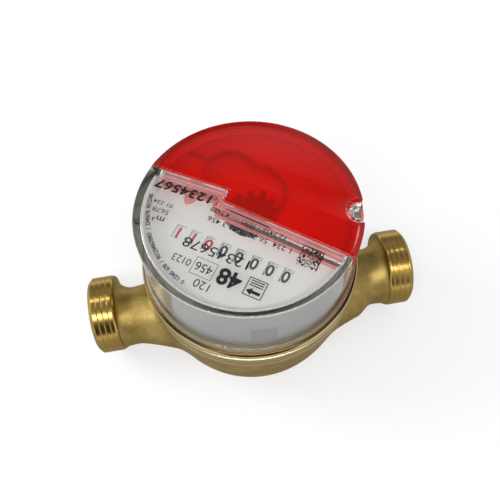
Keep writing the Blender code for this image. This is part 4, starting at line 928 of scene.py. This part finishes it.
roller_white = moulded("white_roller_abs", "#F2F2F0", 0.45, 0.1)
black_ink = moulded("black_pad_print", "#161616", 0.5, 0.0)
red_ink = moulded("red_pad_print", "#C01A1E", 0.5, 0.0)
for number in range(8):
    name = "number_roller_%d" % (number + 1)
    dress(name, roller_white)
    x = ROLLER_X - number * ROLLER_PITCH
    lap = np.linspace(0.0, TAU, DRUM_COLS, endpoint=False)
    band = [np.stack([np.full(DRUM_COLS, x + dx), ROLLER_Y + r * np.cos(lap), ROLLER_Z + r * np.sin(lap)], -1)
            for dx, r in DRUM_PROFILE]
    drum = mesh_object("drum_face_%d" % (number + 1), on_register(np.stack(band, 1)),
                       grid_faces(DRUM_COLS, len(band), flip=True))
    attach(drum, name)
    drum.data.materials.append(roller_white)
    points, faces = [], []
    for digit in range(10):
        flat, flat_faces = figures(str(digit), FIGURE_TALL, 0.03, slices=9)
        for x0, y0, wide, tall in DASHES if number >= RED_DRUMS else ():
            flat_faces.append([len(flat) + i for i in range(4)])
            flat = np.concatenate([flat, [(x0, y0), (x0 + wide, y0), (x0 + wide, y0 + tall), (x0, y0 + tall)]])
        start = sum(map(len, points))
        faces += [[i + start for i in f] for f in flat_faces]
        turn = flat[:, 1] / INK_R + (digit - READING[number]) * TAU / 10.0
        points.append(np.stack([flat[:, 0] * FIGURE_WIDE + x + FIGURE_X, ROLLER_Y + INK_R * np.sin(turn),
                                ROLLER_Z + INK_R * np.cos(turn)], -1))
    printed = mesh_object("drum_figures_%d" % (number + 1), on_register(np.concatenate(points)), faces)
    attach(printed, name)
    printed.data.materials.append(red_ink if number < RED_DRUMS else black_ink)


# Printing on top of the clear head: black ink on the outside of the plastic, with plain
# figures, rules, a block pattern and a flow pictogram. It stands over the dial and throws
# its own faint shadow on it.
INK_Z = 50.895
ink_points, ink_faces = [], []


def ink(flat, faces, place, turn=0.0, scale=(1.0, 1.0)):
    """Add flat print at a place on the head, turned by an angle in degrees."""
    a = math.radians(turn)
    x, y = flat[:, 0] * scale[0], flat[:, 1] * scale[1]
    start = sum(map(len, ink_points))
    ink_points.append(np.stack([place[0] + math.cos(a) * x - math.sin(a) * y,
                                place[1] + math.sin(a) * x + math.cos(a) * y, np.full(len(x), INK_Z)], -1))
    ink_faces.extend([[i + start for i in f] for f in faces])


def write(text, tall, wide, place, turn=0.0, offset=0.0, shear=0.0, step=1.0):
    """A line of figures of a given height (mm), stretched to a given width."""
    flat, faces = figures(text, tall, offset, shear, step)
    ink(flat, faces, place, turn, (wide / np.ptp(flat[:, 0]), 1.0))


def bar(x0, y0, x1, y1, width):
    """A straight stroke between two points."""
    a, b = np.array([x0, y0], float), np.array([x1, y1], float)
    side = np.array([a[1] - b[1], b[0] - a[0]]) * 0.5 * width / np.linalg.norm(b - a)
    ink(np.array([a - side, b - side, b + side, a + side]), [[0, 1, 2, 3]], (0.0, 0.0))


def frame_stroke(place, wide, tall, width):
    """A rectangular frame."""
    x, y = 0.5 * wide, 0.5 * tall
    for x0, y0, x1, y1 in ((-x, -y, x, -y), (-x, y, x, y), (-x, -y, -x, y), (x, -y, x, y)):
        bar(place[0] + x0, place[1] + y0, place[0] + x1, place[1] + y1, width)


write("1234567", 2.7, 17.4, (19.4, 1.75), 4.0, 0.036, 0.1, 1.12)
write("01 234", 1.15, 5.8, (22.4, 7.8), 2.0, 0.008)
write("5678", 1.5, 4.9, (21.9, 10.2), 4.0)
write("m³", 1.9, 3.4, (21.2, 12.8), 4.0, 0.01)
write("4 5678", 1.35, 5.8, (6.6, 3.75), 0.0, 0.008)
write("12 3456 / 7890", 1.45, 13.0, (-6.6, 3.85), 0.0, 0.008)
write("1 234  56 78 9012 3 456", 1.6, 25.0, (-3.6, 6.75), 0.0, 0.008)
write("12345678", 3.0, 19.2, (1.9, 15.7), 1.5)
write("0123", 2.15, 5.4, (9.2, 21.3), 0.0)
frame_stroke((2.6, 21.2), 6.2, 5.1, 0.14)
write("456", 2.6, 4.9, (2.6, 21.2), 0.0)
write("120", 2.4, 4.4, (0.9, 25.8), -2.0)
write("48", 4.6, 6.6, (-4.9, 21.1), 0.0, 0.03)

# Flow pictogram: a plain arrow over three rules, in a square frame.
frame_stroke((-12.2, 20.75), 5.0, 5.2, 0.26)
bar(-14.1, 22.0, -11.7, 22.0, 0.9)
ink(np.array([[-11.7, 20.9], [-10.1, 22.0], [-11.7, 23.1]]), [[0, 1, 2]], (0.0, 0.0))
for rule in (20.2, 19.5, 18.8):
    bar(-14.1, rule, -10.3, rule, 0.32)

# Block pattern: cells filled by chance along two full edges, which is fine print to the eye.
CELLS, BLOCK, BLOCK_X, BLOCK_Y = 18, 6.1, -24.5, 3.45
cells = np.random.default_rng(4).random((CELLS, CELLS)) < 0.5
cells[0, :] = cells[:, 0] = True
cell = BLOCK / CELLS
for i, j in zip(*np.nonzero(cells)):
    x, y = BLOCK_X + cell * i, BLOCK_Y + cell * j
    ink(np.array([[x, y], [x + cell, y], [x + cell, y + cell], [x, y + cell]]), [[0, 1, 2, 3]], (0.0, 0.0))

# Small figures that follow the head's rim.
RIM_LINE, RIM_LINE_R, RIM_LINE_TALL = "0 12345 678 / 9012345678901 / 2345678 9012345", 27.7, 1.15
LINE_START, LINE_SPAN = 78.0, 64.0
for i, mark in enumerate(RIM_LINE):
    if mark != " ":
        lean = LINE_START - LINE_SPAN * i / (len(RIM_LINE) - 1)
        a = math.radians(lean)
        flat, faces = figures(mark, RIM_LINE_TALL, 0.02)
        ink(flat, faces, (RIM_LINE_R * math.cos(a), RIM_LINE_R * math.sin(a)), lean - 90.0)
head_print = mesh_object("head_print", on_register(np.concatenate(ink_points)), ink_faces)
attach(head_print, "register")
head_print.data.materials.append(black_ink)
